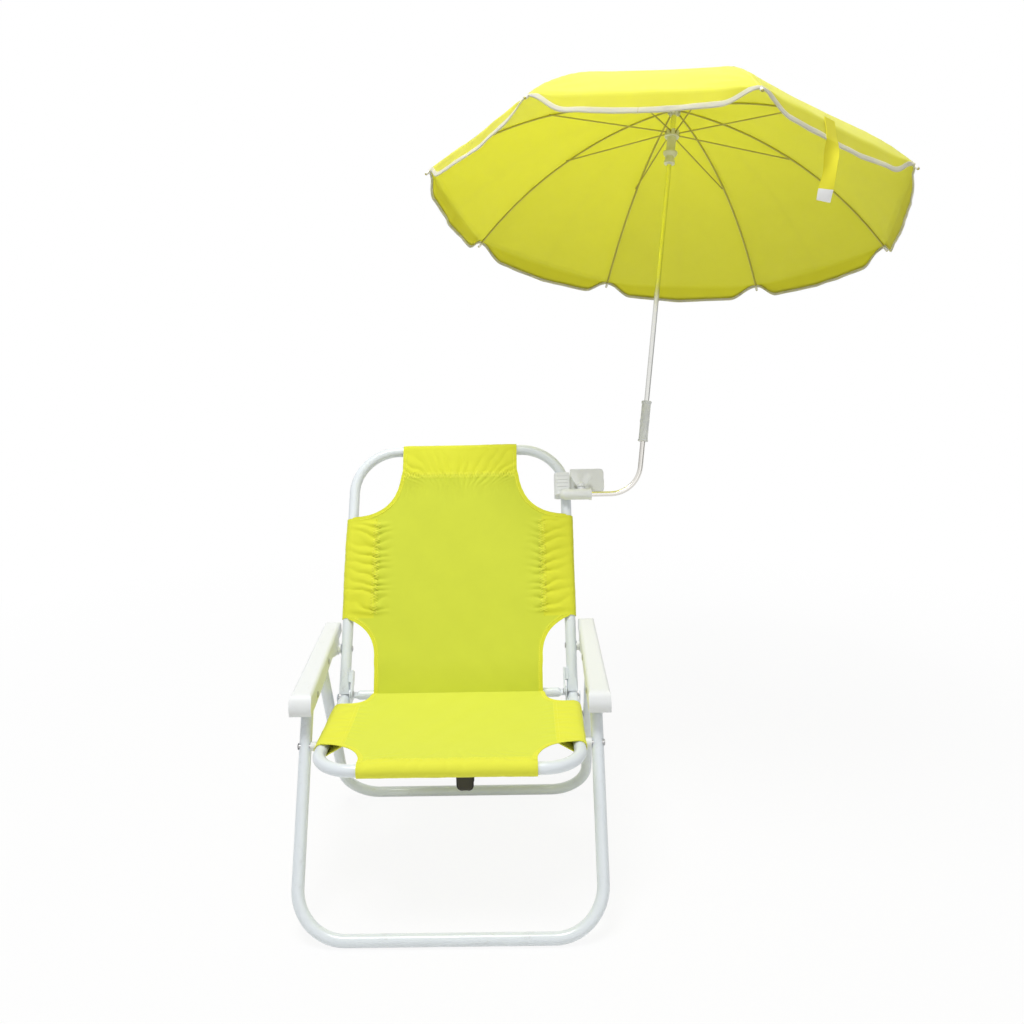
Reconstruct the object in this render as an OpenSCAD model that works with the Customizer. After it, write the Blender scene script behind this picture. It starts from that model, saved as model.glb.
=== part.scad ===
// Child's folding beach chair with a clamp-on tilting umbrella.
// Millimetres. +Z is up, +Y runs to the back of the chair and +X to its left hand side
// as seen by the sitter's guest in front. The origin is on the floor, in the middle of
// the front floor bar. The chair is drawn open and the umbrella is drawn open.

/* [Tubes and rivets] */
// Outside diameter of the chair's steel tube
tube_d = 16; // [15:0.5:17]
// Wall of the chair's steel tube
tube_wall = 1; // [0.8:0.1:1.6]
// Shank diameter of the chair's rivets
rivet_d = 5; // [4:0.5:6]
// Radial play of a rivet in a hole that turns on it
turn_play = 0.05; // [0.03:0.01:0.1]
// Depth of the flat that the floor has worn under each floor bar
foot_flat = 0.45; // [0.4:0.05:0.5]

/* [Leg frames] */
// Distance between the side tubes of each leg frame, centre to centre
leg_span = 380; // [365:1:400]
// Gap between a leg tube and the seat tube beside it
side_gap = 8; // [7.6:0.1:9]
// Lean of the front leg frame from upright, top to the back
front_lean = 31; // [29:0.5:32]
// Distance from the front floor bar to the rear floor bar
stance = 353; // [345:1:365]
// Centreline radius of the front frame's floor corners
front_corner = 62; // [50:1:75]
// Centreline radius of the rear frame's floor corners
rear_corner = 55; // [45:1:70]

/* [Seat] */
// Height of the seat tubes at the back hinge, at their centre
seat_h = 204.6; // [200:0.2:210]
// Distance of the back hinge behind the front floor bar
hinge_y = 266; // [262:1:270]
// Distance from the back hinge to the front seat bar
seat_depth = 219; // [205:1:235]
// Rise of the seat towards its front, in degrees
seat_tilt = 1.45; // [0:0.05:3]
// Centreline radius of the seat frame's front corners
seat_corner = 48; // [38:1:60]
// Height of the hinge rivet above the seat tube's centre
hinge_rise = 9.4; // [9:0.1:10]

/* [Back] */
// Lean of the back from upright
back_lean = 33.8; // [32:0.2:36]
// Distance from the hinge to the top bar along the back
back_len = 386; // [370:1:410]
// Distance of the back tubes' centre behind the hinge rivet
back_set = 4; // [3.6:0.1:4.6]
// Centreline radius of the top corners
top_corner = 70; // [60:1:80]
// Angle through which the back folds down over the seat
fold_angle = 113; // [100:1:114]
// Turn of the rear legs for each degree of the back's fold
rear_ratio = 0.52; // [0.5:0.01:0.54]

/* [Armrests] */
// Distance between the two rivets of each folding link
link_len = 68; // [64:0.5:70]
// Slope of the armrest, rising to the back
arm_slope = 6.9; // [5:0.1:8]
// Length of the armrest ahead of its front rivet
arm_front = 44; // [36:1:52]
// Length of the armrest behind its front rivet
arm_rear = 182; // [176:1:190]
// Height of the armrest's top above its front rivet
arm_rise = 17.5; // [16.5:0.1:20]
// Depth of the armrest's side wall at its front
arm_depth = 24.5; // [22:0.5:28]
// Depth of the armrest's side wall at its rear end
arm_depth_rear = 17.5; // [15:0.5:19]
// Wall thickness of the armrest's sides
arm_wall = 2.5; // [2:0.1:3]
// Thickness of the armrest's top
arm_roof = 3; // [2.5:0.1:3.5]
// Distance from the front rivet to the rear legs' rivet along the armrest
arm_pivot = 80; // [74:1:84]
// Width of the armrest at its front end
arm_width = 29; // [27.5:0.5:34]
// Width of the armrest at its rear end
arm_width_rear = 23.5; // [23.2:0.1:26]

/* [Slings] */
// Thickness of the sling cloth, hems and all
cloth = 1; // [0.8:0.1:1.4]
// Air between the cloth and the tube it is sewn round
cloth_gap = 0.3; // [0.2:0.05:0.4]
// Half width of the sleeve on the top bar
top_sleeve = 90; // [80:1:95]
// Half width of the sleeve on the front seat bar
front_sleeve = 111; // [100:1:115]
// Length of the back's side tabs along the tubes
back_tab = 158; // [140:1:170]
// Height of the lower end of the back's side tabs above the hinge
back_tab_low = 112; // [104:1:120]
// Length of the seat's side tabs along the tubes
seat_tab = 128; // [110:1:132]
// Half width of the slings where seat and back meet
waist = 126; // [118:1:132]
// Width of the black carry strap
strap_w = 24; // [20:1:30]
// Length that the carry strap hangs below the rear crossbar
strap_drop = 147; // [120:1:165]

/* [Umbrella mount] */
// Distance of the clamp's centre below the top of the back frame
clamp_below = 63; // [60:1:70]
// Length of the horizontal socket
socket_len = 41; // [38:1:44]
// Outside diameter of the socket
socket_d = 16.5; // [15:0.5:18]
// Diameter of the bent steel arm
rod_d = 8; // [7:0.5:8.5]
// Distance from the chair tube's centre to the arm's corner
arm_reach = 111; // [100:1:120]
// Centreline radius of the bend in the steel arm
arm_bend = 48; // [40:1:55]
// Lean of the umbrella to the back
umbrella_tilt = 17.9; // [0:0.1:22]
// Lean of the umbrella outwards, set by the bend in the arm
umbrella_out = 7; // [0:0.5:9]
// Height of the coupling sleeve's lower end above the arm's corner
coupling_low = 82; // [76:1:90]
// Length of the coupling sleeve
coupling_len = 63; // [55:1:70]
// Outside diameter of the coupling sleeve
coupling_d = 14; // [12:0.5:16]

/* [Umbrella] */
// Number of ribs, panels and stretchers
ribs = 8; // [8]
// Distance of the rib tips from the shaft
canopy_r = 374; // [350:1:380]
// Height of the rib pivots above the plane of the tips
canopy_rise = 166; // [150:1:180]
// Height of the rib pivots above the arm's corner
notch_h = 622; // [610:1:640]
// Radius of the curve that each open rib takes
rib_bow = 560; // [520:5:700]
// Diameter of the rib wire
rib_d = 2.6; // [2.2:0.1:3]
// Diameter of the stretcher wire
stretcher_d = 2.2; // [1.8:0.1:2.4]
// Distance of the stretcher joints from the shaft
joint_r = 200; // [190:1:210]
// Drop of the open runner's pivots below the rib pivots
runner_drop = 40; // [38:1:46]
// Angle through which each rib closes
rib_close = 64; // [50:1:64]
// Turn of the ribs about the shaft
rib_turn = 9; // [-20:1:20]
// Depth of the valance at the ribs
valance = 24; // [15:1:30]
// Extra depth of the valance between the ribs
scallop = 7; // [0:1:10]
// Thickness of the canopy cloth
canopy_cloth = 0.6; // [0.5:0.1:0.8]

/* [Hidden] */
$fn = 48;
hub_ids = [for (k = [1 : 8]) k];

// Tubes and side stack, from the middle of the chair outwards
tube_r = tube_d / 2;
rivet_r = rivet_d / 2;
big = 1000;
leg_x = leg_span / 2;
seat_x = leg_x - tube_d - side_gap;
seat_in = seat_x - tube_r;
seat_out = seat_x + tube_r;
leg_in = leg_x - tube_r;
leg_out = leg_x + tube_r;
foot_z = tube_r - foot_flat;
head_r = rivet_r + 2;
head_t = 1;
open_play = 0.3;

// Folding linkage. Points are [y, z]. Back and front legs turn alike on the seat, and
// the armrests stay parallel to it.
hinge = [hinge_y, seat_h + hinge_rise];
link_lean = back_lean + asin(back_set / link_len);
link = link_len * [sin(link_lean), cos(link_lean)];
leg_set = link_len * sin(link_lean - front_lean) / 2;
leg_d = (leg_set + hinge_y * cos(front_lean) - (seat_h - foot_z) * sin(front_lean))
    / cos(front_lean - seat_tilt);
leg_pivot = [hinge_y - leg_d * cos(seat_tilt), seat_h + leg_d * sin(seat_tilt)];
arm_fore = leg_pivot + link;
arm_aft = hinge + link;
front_len = arm_fore[0] * sin(front_lean) + (arm_fore[1] - foot_z) * cos(front_lean);
tube_end = 5;

// Armrest frame: y along the armrest, z square to its top, from the front rivet
arm_in = seat_out + 4.3;
arm_hole_z = arm_rise - arm_roof - tube_r - 1.8;
function arm_point(p) = arm_fore + [p[0] * cos(arm_slope) - p[1] * sin(arm_slope),
                                    p[0] * sin(arm_slope) + p[1] * cos(arm_slope)];
function arm_local(p) = let (v = p - arm_fore)
    [v[0] * cos(arm_slope) + v[1] * sin(arm_slope), v[1] * cos(arm_slope) - v[0] * sin(arm_slope)];
rear_pivot = arm_point([arm_pivot, arm_hole_z]);
rear_lean = atan((stance - rear_pivot[0]) / (rear_pivot[1] - foot_z));
rear_len = norm([stance, foot_z] - rear_pivot);
aft_local = arm_local(arm_aft);
function arm_edge(y) = arm_in + arm_width
    + (y + arm_front) * (arm_width_rear - arm_width) / (arm_front + arm_rear);

// Rear stays: the far rivet's place on the rear leg is where the stay has one length
// both with the chair open and with it folded
stay_set = 8;
stay_pivot = [hinge_y + stay_set * cos(seat_tilt), seat_h - stay_set * sin(seat_tilt)];
function aim(a) = [cos(a), sin(a)];
leg_aim = aim(rear_lean - 90);
leg_aim_folded = aim(rear_lean - 90 + rear_ratio * fold_angle);
fold_shift = link_len * (aim(-90 - link_lean + fold_angle) - aim(-90 - link_lean));
stay_c = stay_pivot - rear_pivot;
stay_c_folded = stay_c + fold_shift;
stay_along = (stay_c_folded * stay_c_folded - stay_c * stay_c)
    / (2 * (leg_aim_folded * stay_c_folded - leg_aim * stay_c));
stay_end = rear_pivot + stay_along * leg_aim;
stay_len = norm(stay_end - stay_pivot);
stay_angle = atan2(stay_end[1] - stay_pivot[1], stay_end[0] - stay_pivot[0]);
stay_t = 1.5;
stay_x = seat_out + 2;
flush_at = 0.7;
flush_r = 4;

// Rear crossbar
bar_d = 14;
bar_at = [14, -8];
flange_t = 2;
flange_x = seat_in - flange_t - 0.4;
lug_t = 2.2;
lug_x = flange_x - lug_t - 0.3;
lug_r = 6.3;

// Slings
sleeve_r = tube_r + cloth_gap + cloth;
stitch_in = 26;
seat_tab_back = 36;
back_face = back_set - tube_r - cloth_gap;

// Clamp and arm, in the frame of the back: x sideways, y behind, z along the back
grip_in = 17.5;
grip_out = 6;
grip_front = 14;
grip_low = -20;
grip_high = 17;
plate_out = 61;
plate_low = -10;
plate_high = 28;
plate_t = 7;
socket_y = -17;
socket_z = -22;
socket_x = -2;
rod_r = rod_d / 2;
rod_wall = 1;
rod_play = 0.05;
rod_in = 4;
knob_x = 23.6;
knob_low = 4;
clamp_at = back_len - clamp_below;
knob_wing = 14.8;
lock_r = 2;
rod_turn = 90 - umbrella_out;
rod_tangent = arm_bend * tan(rod_turn / 2);
rod_hold = 28;

// Umbrella ribs and stretchers, in the frame of the shaft
pivot_r = 8;
runner_r = 9;
wire_r = 0.6;
rib_r = rib_d / 2;
side_step = 2.8;
rib_chord = norm([canopy_r - pivot_r, canopy_rise]);
rib_chord_angle = atan(canopy_rise / (canopy_r - pivot_r));
rib_half = asin(rib_chord / 2 / rib_bow);
rib_start = rib_chord_angle - rib_half;
rib_end = rib_chord_angle + rib_half;
function rib_r_at(a) = pivot_r + rib_bow * (sin(a) - sin(rib_start));
function rib_z_at(a) = notch_h - rib_bow * (cos(rib_start) - cos(a));
joint_a = asin(sin(rib_start) + (joint_r - pivot_r) / rib_bow);
joint = [joint_r, rib_z_at(joint_a)];
runner_h = notch_h - runner_drop;
stretcher_r = sqrt(runner_r * runner_r - side_step * side_step);
stretcher_len = norm(joint - [stretcher_r, runner_h]);
stretcher_rise = atan2(joint[1] - runner_h, joint[0] - stretcher_r);
tip_len = 9;
eye_t = 1.2;
notch_r = 10;
notch_low = 7;
notch_top = 1;
cloth_off = rib_r + 0.8;

module chair_white() color([0.93, 0.94, 0.93]) children();
module moulded_white() color([0.96, 0.96, 0.97]) children();
module steel() color([0.72, 0.72, 0.70]) children();
module yellow() color([0.90, 0.90, 0.12]) children();

// Both sides of the chair
module each_side() {
    children();
    mirror([1, 0, 0]) children();
}

// Children drawn in the seat's frame: y to the back, z square to the seat
module on_seat() translate([0, hinge_y, seat_h]) rotate([-seat_tilt, 0, 0]) children();

// Children drawn in the back's frame: z along the back, y behind it
module on_back() translate([0, hinge[0], hinge[1]]) rotate([-back_lean, 0, 0]) children();

module on_front_legs() translate([0, 0, foot_z]) rotate([-front_lean, 0, 0]) children();

module on_rear_legs() translate([0, stance, foot_z]) rotate([rear_lean, 0, 0]) children();

module on_arm() translate([0, arm_fore[0], arm_fore[1]]) rotate([arm_slope, 0, 0]) children();

// Children drawn at the clamp, from the centre of the chair's tube
module on_clamp() on_back() translate([seat_x, back_set, clamp_at]) children();

// Where the axis of the steel arm's socket lies, in the chair's own frame
socket_c = hinge + [(back_set + socket_y) * cos(back_lean) + (clamp_at + socket_z) * sin(back_lean),
                    (clamp_at + socket_z) * cos(back_lean) - (back_set + socket_y) * sin(back_lean)];
corner_x = seat_x + arm_reach;

// Children drawn in the umbrella's frame: z along the shaft, from the arm's corner
module on_shaft()
    translate([corner_x, socket_c[0], socket_c[1]]) rotate([-umbrella_tilt, 0, 0])
    rotate([0, umbrella_out, 0]) children();

// A cylinder along X from x0 to x1 about a point [y, z]
module x_rod(p, x0, x1, r) translate([x0, p[0], p[1]]) rotate([0, 90, 0]) cylinder(r = r, h = x1 - x0);

// A flat outline in y and z, drawn in x from x0 to x1
module x_plate(x0, x1) translate([x0, 0, 0]) rotate([90, 0, 90]) linear_extrude(x1 - x0) children();

// A bent U rod: the bar lies along X at z = 0 and both legs rise
module u_rod(span, len, corner, r) {
    straight = span / 2 - corner;
    translate([-straight, 0, 0]) rotate([0, 90, 0]) cylinder(r = r, h = 2 * straight);
    for (s = [-1, 1]) {
        translate([s * span / 2, 0, corner]) cylinder(r = r, h = len - corner);
        translate([s * straight, 0, corner]) rotate([90, 0, 0])
            rotate([0, 0, s > 0 ? -90 : 180]) rotate_extrude(angle = 90)
            translate([corner, 0]) circle(r = r);
    }
}

// The same bend as a hollow tube, with its ends closed for plug mm
module u_tube(span, len, corner, plug = 0) {
    difference() {
        u_rod(span, len, corner, tube_r);
        u_rod(span, len - plug + (plug > 0 ? 0 : 1), corner, tube_r - tube_wall);
    }
}

// Front legs: one U tube that stands on the floor and rises into the armrests
module front_leg_frame() chair_white() difference() {
    on_front_legs() u_tube(leg_span, front_len + tube_end, front_corner);
    translate([-big / 2, -big / 2, -big]) cube([big, big, big]);
    each_side() x_rod(leg_pivot, leg_in - 1, leg_out + 1, rivet_r + turn_play);
    each_side() x_rod(arm_fore, leg_in - 1, leg_out + 1, rivet_r + open_play);
}

// Rear legs: a U tube under the back, hung in the armrests
module rear_leg_frame() chair_white() difference() {
    on_rear_legs() u_tube(leg_span, rear_len + tube_end, rear_corner);
    translate([-big / 2, -big / 2, -big]) cube([big, big, big]);
    each_side() x_rod(rear_pivot, leg_in - 1, leg_out + 1, rivet_r + turn_play);
}

// Seat frame: a U tube lying down, its legs running back past the hinge
seat_tail = 18;
module seat_frame() chair_white() difference() {
    on_seat() translate([0, -seat_depth, 0]) rotate([-90, 0, 0])
        u_tube(2 * seat_x, seat_depth + seat_tail, seat_corner);
    each_side() x_rod(leg_pivot, seat_in - 1, seat_out + 1, rivet_r + turn_play);
    each_side() x_rod(stay_pivot, seat_in - 1, seat_out + 1, rivet_r + turn_play);
}

// Back frame: an upturned U tube. Its lower ends are pressed solid, shaved in front so
// that they clear the seat tubes when the back folds, and carry the hinge lugs.
pressed = 30;
shave = 26;
module back_lug() {
    difference() {
        union() {
            x_plate(lug_x, lug_x + lug_t) union() {
                circle(r = lug_r);
                translate([-lug_r, 0]) square([2 * lug_r, 34]);
                translate([-lug_r, 14]) square([back_set + 2 * lug_r - 2, 20]);
            }
            translate([lug_x + lug_t, -2, 17]) cube([seat_in - lug_x - lug_t + 2, 9, 17]);
        }
        x_rod([0, 0], lug_x - 1, lug_x + lug_t + 1, rivet_r + turn_play);
    }
}
module back_frame() chair_white() difference() {
    on_back() union() {
        difference() {
            translate([0, back_set, back_len]) mirror([0, 0, 1])
                u_tube(2 * seat_x, back_len, top_corner, pressed);
            each_side() x_plate(seat_in - 1, seat_out + 1)
                polygon([[-12, -20], [0.5, -20], [0.5, 0], [back_set - tube_r, shave], [-12, shave]]);
        }
        each_side() back_lug();
    }
    each_side() translate([seat_in - 0.3, hinge[0] - 40, hinge[1] - 41.1])
        cube([tube_d + 2, 80, 40]);
    each_side() x_rod(arm_aft, seat_in - 1, seat_out + 1, rivet_r + turn_play);
}

// Rear crossbar: a round tube flattened at both ends and turned into the hinge flanges
tab_x = 20;
tab_t = 3;
tab_w = 16;
module rear_crossbar() chair_white() {
    c = hinge + bar_at;
    end_x = flange_x - tab_x + 10;
    difference() {
        x_rod(c, -end_x, end_x, bar_d / 2);
        x_rod(c, -end_x - 1, end_x + 1, bar_d / 2 - tube_wall);
    }
    each_side() {
        hull() {
            x_rod(c, end_x - 0.5, end_x, bar_d / 2, $fn = 32);
            translate([end_x + 4, c[0] - tab_w / 2, c[1] - tab_t / 2]) cube([0.5, tab_w, tab_t]);
        }
        translate([end_x + 4, c[0] - tab_w / 2, c[1] - tab_t / 2])
            cube([flange_x - end_x - 4 + 0.1, tab_w, tab_t]);
        difference() {
            x_plate(flange_x, flange_x + flange_t) union() {
                translate(hinge) circle(r = lug_r + 1);
                translate(hinge - [lug_r + 1, 15.5]) square([2 * lug_r + 2, 15.5]);
                translate(hinge - [lug_r + 1, 15.5]) square([bar_at[0] + tab_w / 2 + lug_r + 1, 11]);
            }
            x_rod(hinge, flange_x - 1, flange_x + flange_t + 1, rivet_r + turn_play);
            x_rod(stay_pivot, flange_x - 1, flange_x + flange_t + 1, rivet_r + turn_play);
        }
    }
}

// A low domed rivet head on a point [y, z], facing away from the rivet's middle
module rivet_head(p, x, side, t = head_t) translate([x, p[0], p[1]]) rotate([0, 90 * side, 0])
    rotate_extrude() polygon([[0, 0], [head_r, 0], [head_r - 0.5, t * 0.6], [head_r - 1.6, t], [0, t]]);

// A rivet along X with a head at each end, the outer one t thick
module rivet(p, x0, x1, t = head_t) {
    x_rod(p, x0, x1, rivet_r);
    rivet_head(p, x0, -1);
    rivet_head(p, x1, 1, t);
}

module leg_pivot_rivets() steel() each_side() rivet(leg_pivot, seat_in - 0.2, leg_out + 0.2);

module leg_pivot_spacers() moulded_white() each_side() difference() {
    x_rod(leg_pivot, seat_out + 0.2, leg_in - 0.2, spacer_r);
    x_rod(leg_pivot, seat_out - 1, leg_in + 1, rivet_r + turn_play);
}

module hinge_rivets() steel() each_side() rivet(hinge, lug_x - 0.2, flange_x + flange_t, 0.3);

module stay_pivot_rivets() steel() each_side() {
    x_rod(stay_pivot, flange_x + 0.2, stay_x + flush_at + 0.1, rivet_r);
    x_rod(stay_pivot, stay_x + flush_at + 0.05, stay_x + stay_t, flush_r);
}

module arm_rear_rivets() steel() each_side() rivet(arm_aft, seat_in - 0.2, arm_in + arm_wall + 0.1, 0.7);

module arm_rear_spacers() moulded_white() each_side() difference() {
    x_rod(arm_aft, seat_out + 0.2, arm_in - 0.2, 7.2);
    x_rod(arm_aft, seat_out - 1, arm_in + 1, rivet_r + turn_play);
}

module arm_front_rivets() steel() each_side()
    rivet(arm_fore, arm_in - 0.2, arm_edge(0) + 0.2);

module rear_leg_rivets() steel() each_side()
    rivet(rear_pivot, arm_in - 0.2, arm_edge(arm_pivot) + 0.2);

// Armrest: a moulded channel, open below, that widens to the front and has a rounded nose.
// An ear on its inner wall reaches down to the back's rivet.
nose_r = 20;
tail_r = 7;
edge_r = 5;
module arm_side(inset, low) {
    top = arm_rise - inset;
    front = -arm_front + inset;
    rear = arm_rear - inset;
    r = nose_r - inset;
    union() {
        polygon([[front + r, top], [rear - tail_r, top], [rear - tail_r, arm_rise - arm_depth_rear - low],
                 [20, arm_rise - arm_depth - low], [front, arm_rise - arm_depth - low],
                 [front, top - r], [front + r, top - r]]);
        intersection() {
            translate([front + r, top - r]) circle(r = r);
            translate([front, top - r]) square([r, r]);
        }
        intersection() {
            translate([rear - tail_r, top - tail_r]) circle(r = tail_r);
            translate([rear - tail_r, top - tail_r]) square([tail_r, tail_r]);
        }
        translate([rear - tail_r, arm_rise - arm_depth_rear - low])
            square([tail_r, arm_depth_rear - inset - tail_r + low]);
    }
}
// Plan of the armrest, inset from its walls
module arm_plan(inset) linear_extrude(200, center = true)
    polygon([[arm_in + inset, -arm_front], [arm_edge(-arm_front) - inset, -arm_front],
             [arm_edge(arm_rear) - inset, arm_rear], [arm_in + inset, arm_rear]]);
// Long block with one rounded upper edge, for the armrest's shoulders
module arm_shoulder(sign) translate([0, big / 2, 0]) rotate([90, 0, 0]) linear_extrude(big) union() {
    translate([sign > 0 ? -big : 0, -big]) square([big, big + arm_rise - edge_r]);
    translate([sign > 0 ? -big : edge_r, -big]) square([big - edge_r, big + arm_rise]);
    translate([sign > 0 ? -edge_r : edge_r, arm_rise - edge_r]) circle(r = edge_r);
}
module armrest() difference() {
    union() {
        on_arm() difference() {
            intersection() {
                x_plate(arm_in, arm_in + 2 * arm_width) arm_side(0, 0);
                arm_plan(0);
                translate([arm_in, 0, 0]) arm_shoulder(-1);
                translate([arm_edge(0), 0, 0])
                    rotate([0, 0, atan((arm_width - arm_width_rear) / (arm_front + arm_rear))])
                    arm_shoulder(1);
            }
            intersection() {
                x_plate(arm_in, arm_in + 2 * arm_width) arm_side(arm_roof, 20);
                arm_plan(arm_wall);
            }
        }
        on_arm() x_plate(arm_in, arm_in + arm_wall) union() {
            translate(aft_local) circle(r = 9);
            translate([aft_local[0] - 9, aft_local[1]])
                square([18, arm_rise - arm_roof - aft_local[1]]);
            polygon([[aft_local[0] - 40, arm_rise - arm_depth + 2], [aft_local[0] - 7, aft_local[1] - 5.5],
                     [aft_local[0], arm_rise - 8], [aft_local[0] - 40, arm_rise - 8]]);
        }
    }
    x_rod(arm_aft, arm_in - 1, arm_in + arm_wall + 1, rivet_r + turn_play);
    x_rod(arm_fore, arm_in - 1, arm_in + 2 * arm_width, rivet_r + turn_play);
    x_rod(rear_pivot, arm_in - 1, arm_in + 2 * arm_width, rivet_r + turn_play);
}
module left_armrest() moulded_white() mirror([1, 0, 0]) armrest();
module right_armrest() moulded_white() armrest();

// Flat stays between the seat frame and the rear legs. The rivet's head is sunk in the
// stay, because the stud on the rear leg passes close over it half way through the fold.
module stay_links() chair_white() each_side() difference() {
    translate([0, stay_pivot[0], stay_pivot[1]]) rotate([stay_angle, 0, 0])
        x_plate(stay_x, stay_x + stay_t) union() {
            circle(r = 6);
            translate([0, -4.5]) square([stay_len, 9]);
            translate([stay_len, 0]) circle(r = 6);
        }
    x_rod(stay_pivot, stay_x - 1, stay_x + stay_t + 1, rivet_r + turn_play);
    x_rod(stay_pivot, stay_x + flush_at, stay_x + stay_t + 1, flush_r + turn_play);
}

// Short studs on the rear legs that meet the stays
module stay_end_rivets() steel() each_side() union() {
    x_rod(stay_end, stay_x + stay_t + open_play, leg_in - 0.05, rivet_r);
    x_rod(stay_end, leg_in - 2, leg_in - 0.05, head_r);
}

// Outline of one half of the back sling, from the middle outwards
function arc_in(a, b, bulge, n = 8) = let (m = (b - a) / 2, q = [-m[1], m[0]])
    [for (i = [0 : n]) let (t = i / n) a + (b - a) * t + q * bulge * 4 * t * (1 - t)];
tab_edge = seat_x + 2;
back_tab_top = back_tab_low + back_tab;
crease_up = 34;
crease_low = 0.5;
crease_y = 0.6;
back_outline = concat(
    [[0, crease_up - 1], [waist - 3, crease_up - 1]],
    arc_in([waist - 2, 46], [tab_edge - 2, back_tab_low - 2], 0.36),
    [[tab_edge, back_tab_low], [tab_edge, back_tab_top]],
    arc_in([tab_edge - 2, back_tab_top + 2], [top_sleeve + 2, back_len - 46], 0.42),
    [[top_sleeve, back_len - 38], [top_sleeve, back_len], [0, back_len]]);
seat_outline = concat(
    [[0, 2], [waist, 2]],
    arc_in([waist, 4], [tab_edge - 6, seat_tab_back], 0.5),
    [[tab_edge, seat_tab_back], [tab_edge, seat_tab_back + seat_tab]],
    arc_in([tab_edge - 10, seat_tab_back + seat_tab], [front_sleeve + 2, seat_depth - 20], 0.45),
    [[front_sleeve, seat_depth - 12], [front_sleeve, seat_depth], [0, seat_depth]]);
module half_sheet(outline) {
    polygon(outline);
    mirror([1, 0]) polygon(outline);
}
// Sleeve of cloth about a tube that runs along Z
module sleeve(h) difference() {
    cylinder(r = sleeve_r, h = h);
    translate([0, 0, -1]) cylinder(r = sleeve_r - cloth, h = h + 2);
}

// Back sling: a sheet on the front of the back tubes, its tabs and top hem sewn round them.
// Its lowest part runs back to the hinge's line, so that it lies on the seat when folded.
module back_sling() yellow() on_back() difference() {
    union() {
        translate([0, back_face, 0]) rotate([90, 0, 0]) linear_extrude(cloth) half_sheet(back_outline);
        x_plate(-(waist - 3), waist - 3) polygon([[back_face, crease_up], [back_face - cloth, crease_up],
            [crease_y, crease_low], [crease_y + cloth, crease_low]]);
        each_side() translate([seat_x, back_set, back_tab_low]) sleeve(back_tab);
        translate([-top_sleeve, back_set, back_len]) rotate([0, 90, 0]) sleeve(2 * top_sleeve);
    }
    translate([0, back_set, back_len]) mirror([0, 0, 1])
        u_rod(2 * seat_x, back_len + 10, top_corner, tube_r + cloth_gap);
}

// Seat sling, made the same way and laid on top of the seat tubes. Its tabs are punched
// where the front legs' rivets pass.
spacer_r = 6;
module seat_sling() yellow() difference() {
    seat_sheet();
    each_side() x_rod(leg_pivot, seat_in - 4, leg_in, spacer_r + 0.8);
}
module seat_sheet() on_seat() difference() {
    union() {
        translate([0, 0, tube_r + cloth_gap]) mirror([0, 1, 0]) linear_extrude(cloth)
            half_sheet(seat_outline);
        each_side() translate([seat_x, -seat_tab_back, 0]) rotate([90, 0, 0]) sleeve(seat_tab);
        translate([-front_sleeve, -seat_depth, 0]) rotate([0, 90, 0]) sleeve(2 * front_sleeve);
    }
    translate([0, -seat_depth, 0]) rotate([-90, 0, 0])
        u_rod(2 * seat_x, seat_depth + 40, seat_corner, tube_r + cloth_gap);
}

// Carry strap: a flat black loop round the crossbar that hangs under the seat
strap_t = 1.5;
strap_x = 5;
module strap_shape(r, cut) difference() {
    union() {
        circle(r = r);
        translate([-r, -strap_drop]) square([2 * r, strap_drop]);
        translate([0, -strap_drop]) circle(r = r);
    }
    if (cut > 0) strap_shape(r - cut, 0);
}
module carry_strap() color([0.08, 0.08, 0.09])
    x_plate(strap_x - strap_w / 2, strap_x + strap_w / 2) translate(hinge + bar_at)
    strap_shape(bar_d / 2 + cloth_gap + strap_t, strap_t);

// The way of the back's tube through the clamp, with the start of its bend
module tube_way() translate([-seat_x, 0, back_len - clamp_at]) mirror([0, 0, 1])
    u_rod(2 * seat_x, back_len, top_corner, tube_r + turn_play);

// Clamp: the front moulding grips the tube and holds the socket, the rear one backs it
module clamp_body() moulded_white() on_clamp() difference() {
    union() {
        translate([0, 0, grip_low]) linear_extrude(grip_high - grip_low) difference() {
            union() {
                translate([-grip_in + 6, -grip_front]) square([grip_in + grip_out - 6, grip_front - 0.2]);
                translate([-grip_in, -grip_front + 6]) square([7, grip_front - 6.2]);
                translate([-grip_in + 6, -grip_front + 6]) circle(r = 6);
                translate([grip_out - 1, -4.2]) square([10.5, 4]);
            }
            translate([10, -17]) circle(r = 3);
        }
        for (z = [-12 : 6 : 12]) translate([-grip_in + 4, -grip_front - 0.8, z - 1])
            cube([grip_in + grip_out - 7, 1.5, 2]);
        translate([socket_x, socket_y, socket_z]) rotate([0, 90, 0])
            cylinder(d = socket_d, h = socket_len);
        translate([socket_x, socket_y, socket_z]) rotate([0, 90, 0]) sphere(d = socket_d);
        translate([socket_x + socket_len - 4, socket_y, socket_z]) rotate([0, 90, 0])
            cylinder(d = socket_d + 1.6, h = 4);
        x_plate(socket_x, grip_out + 8) polygon([[-4, grip_low + 1], [-grip_front, grip_low + 8],
            [socket_y, socket_z + 6], [socket_y, socket_z - 5], [-4, grip_low - 2]]);
        translate([knob_x, socket_y, socket_z + rod_r + 2]) cylinder(r = 5.5, h = socket_d / 2 - rod_r + 1);
    }
    tube_way();
    translate([rod_in - 0.5, socket_y, socket_z]) rotate([0, 90, 0])
        cylinder(r = rod_r + rod_play, h = socket_len + 10);
    translate([knob_x, socket_y, socket_z]) cylinder(r = lock_r + turn_play, h = socket_d);
    for (p = screw_places) translate([p[0], 0.1, p[1]]) rotate([90, 0, 0]) cylinder(r = 1.5, h = 3.2);
}

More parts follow.
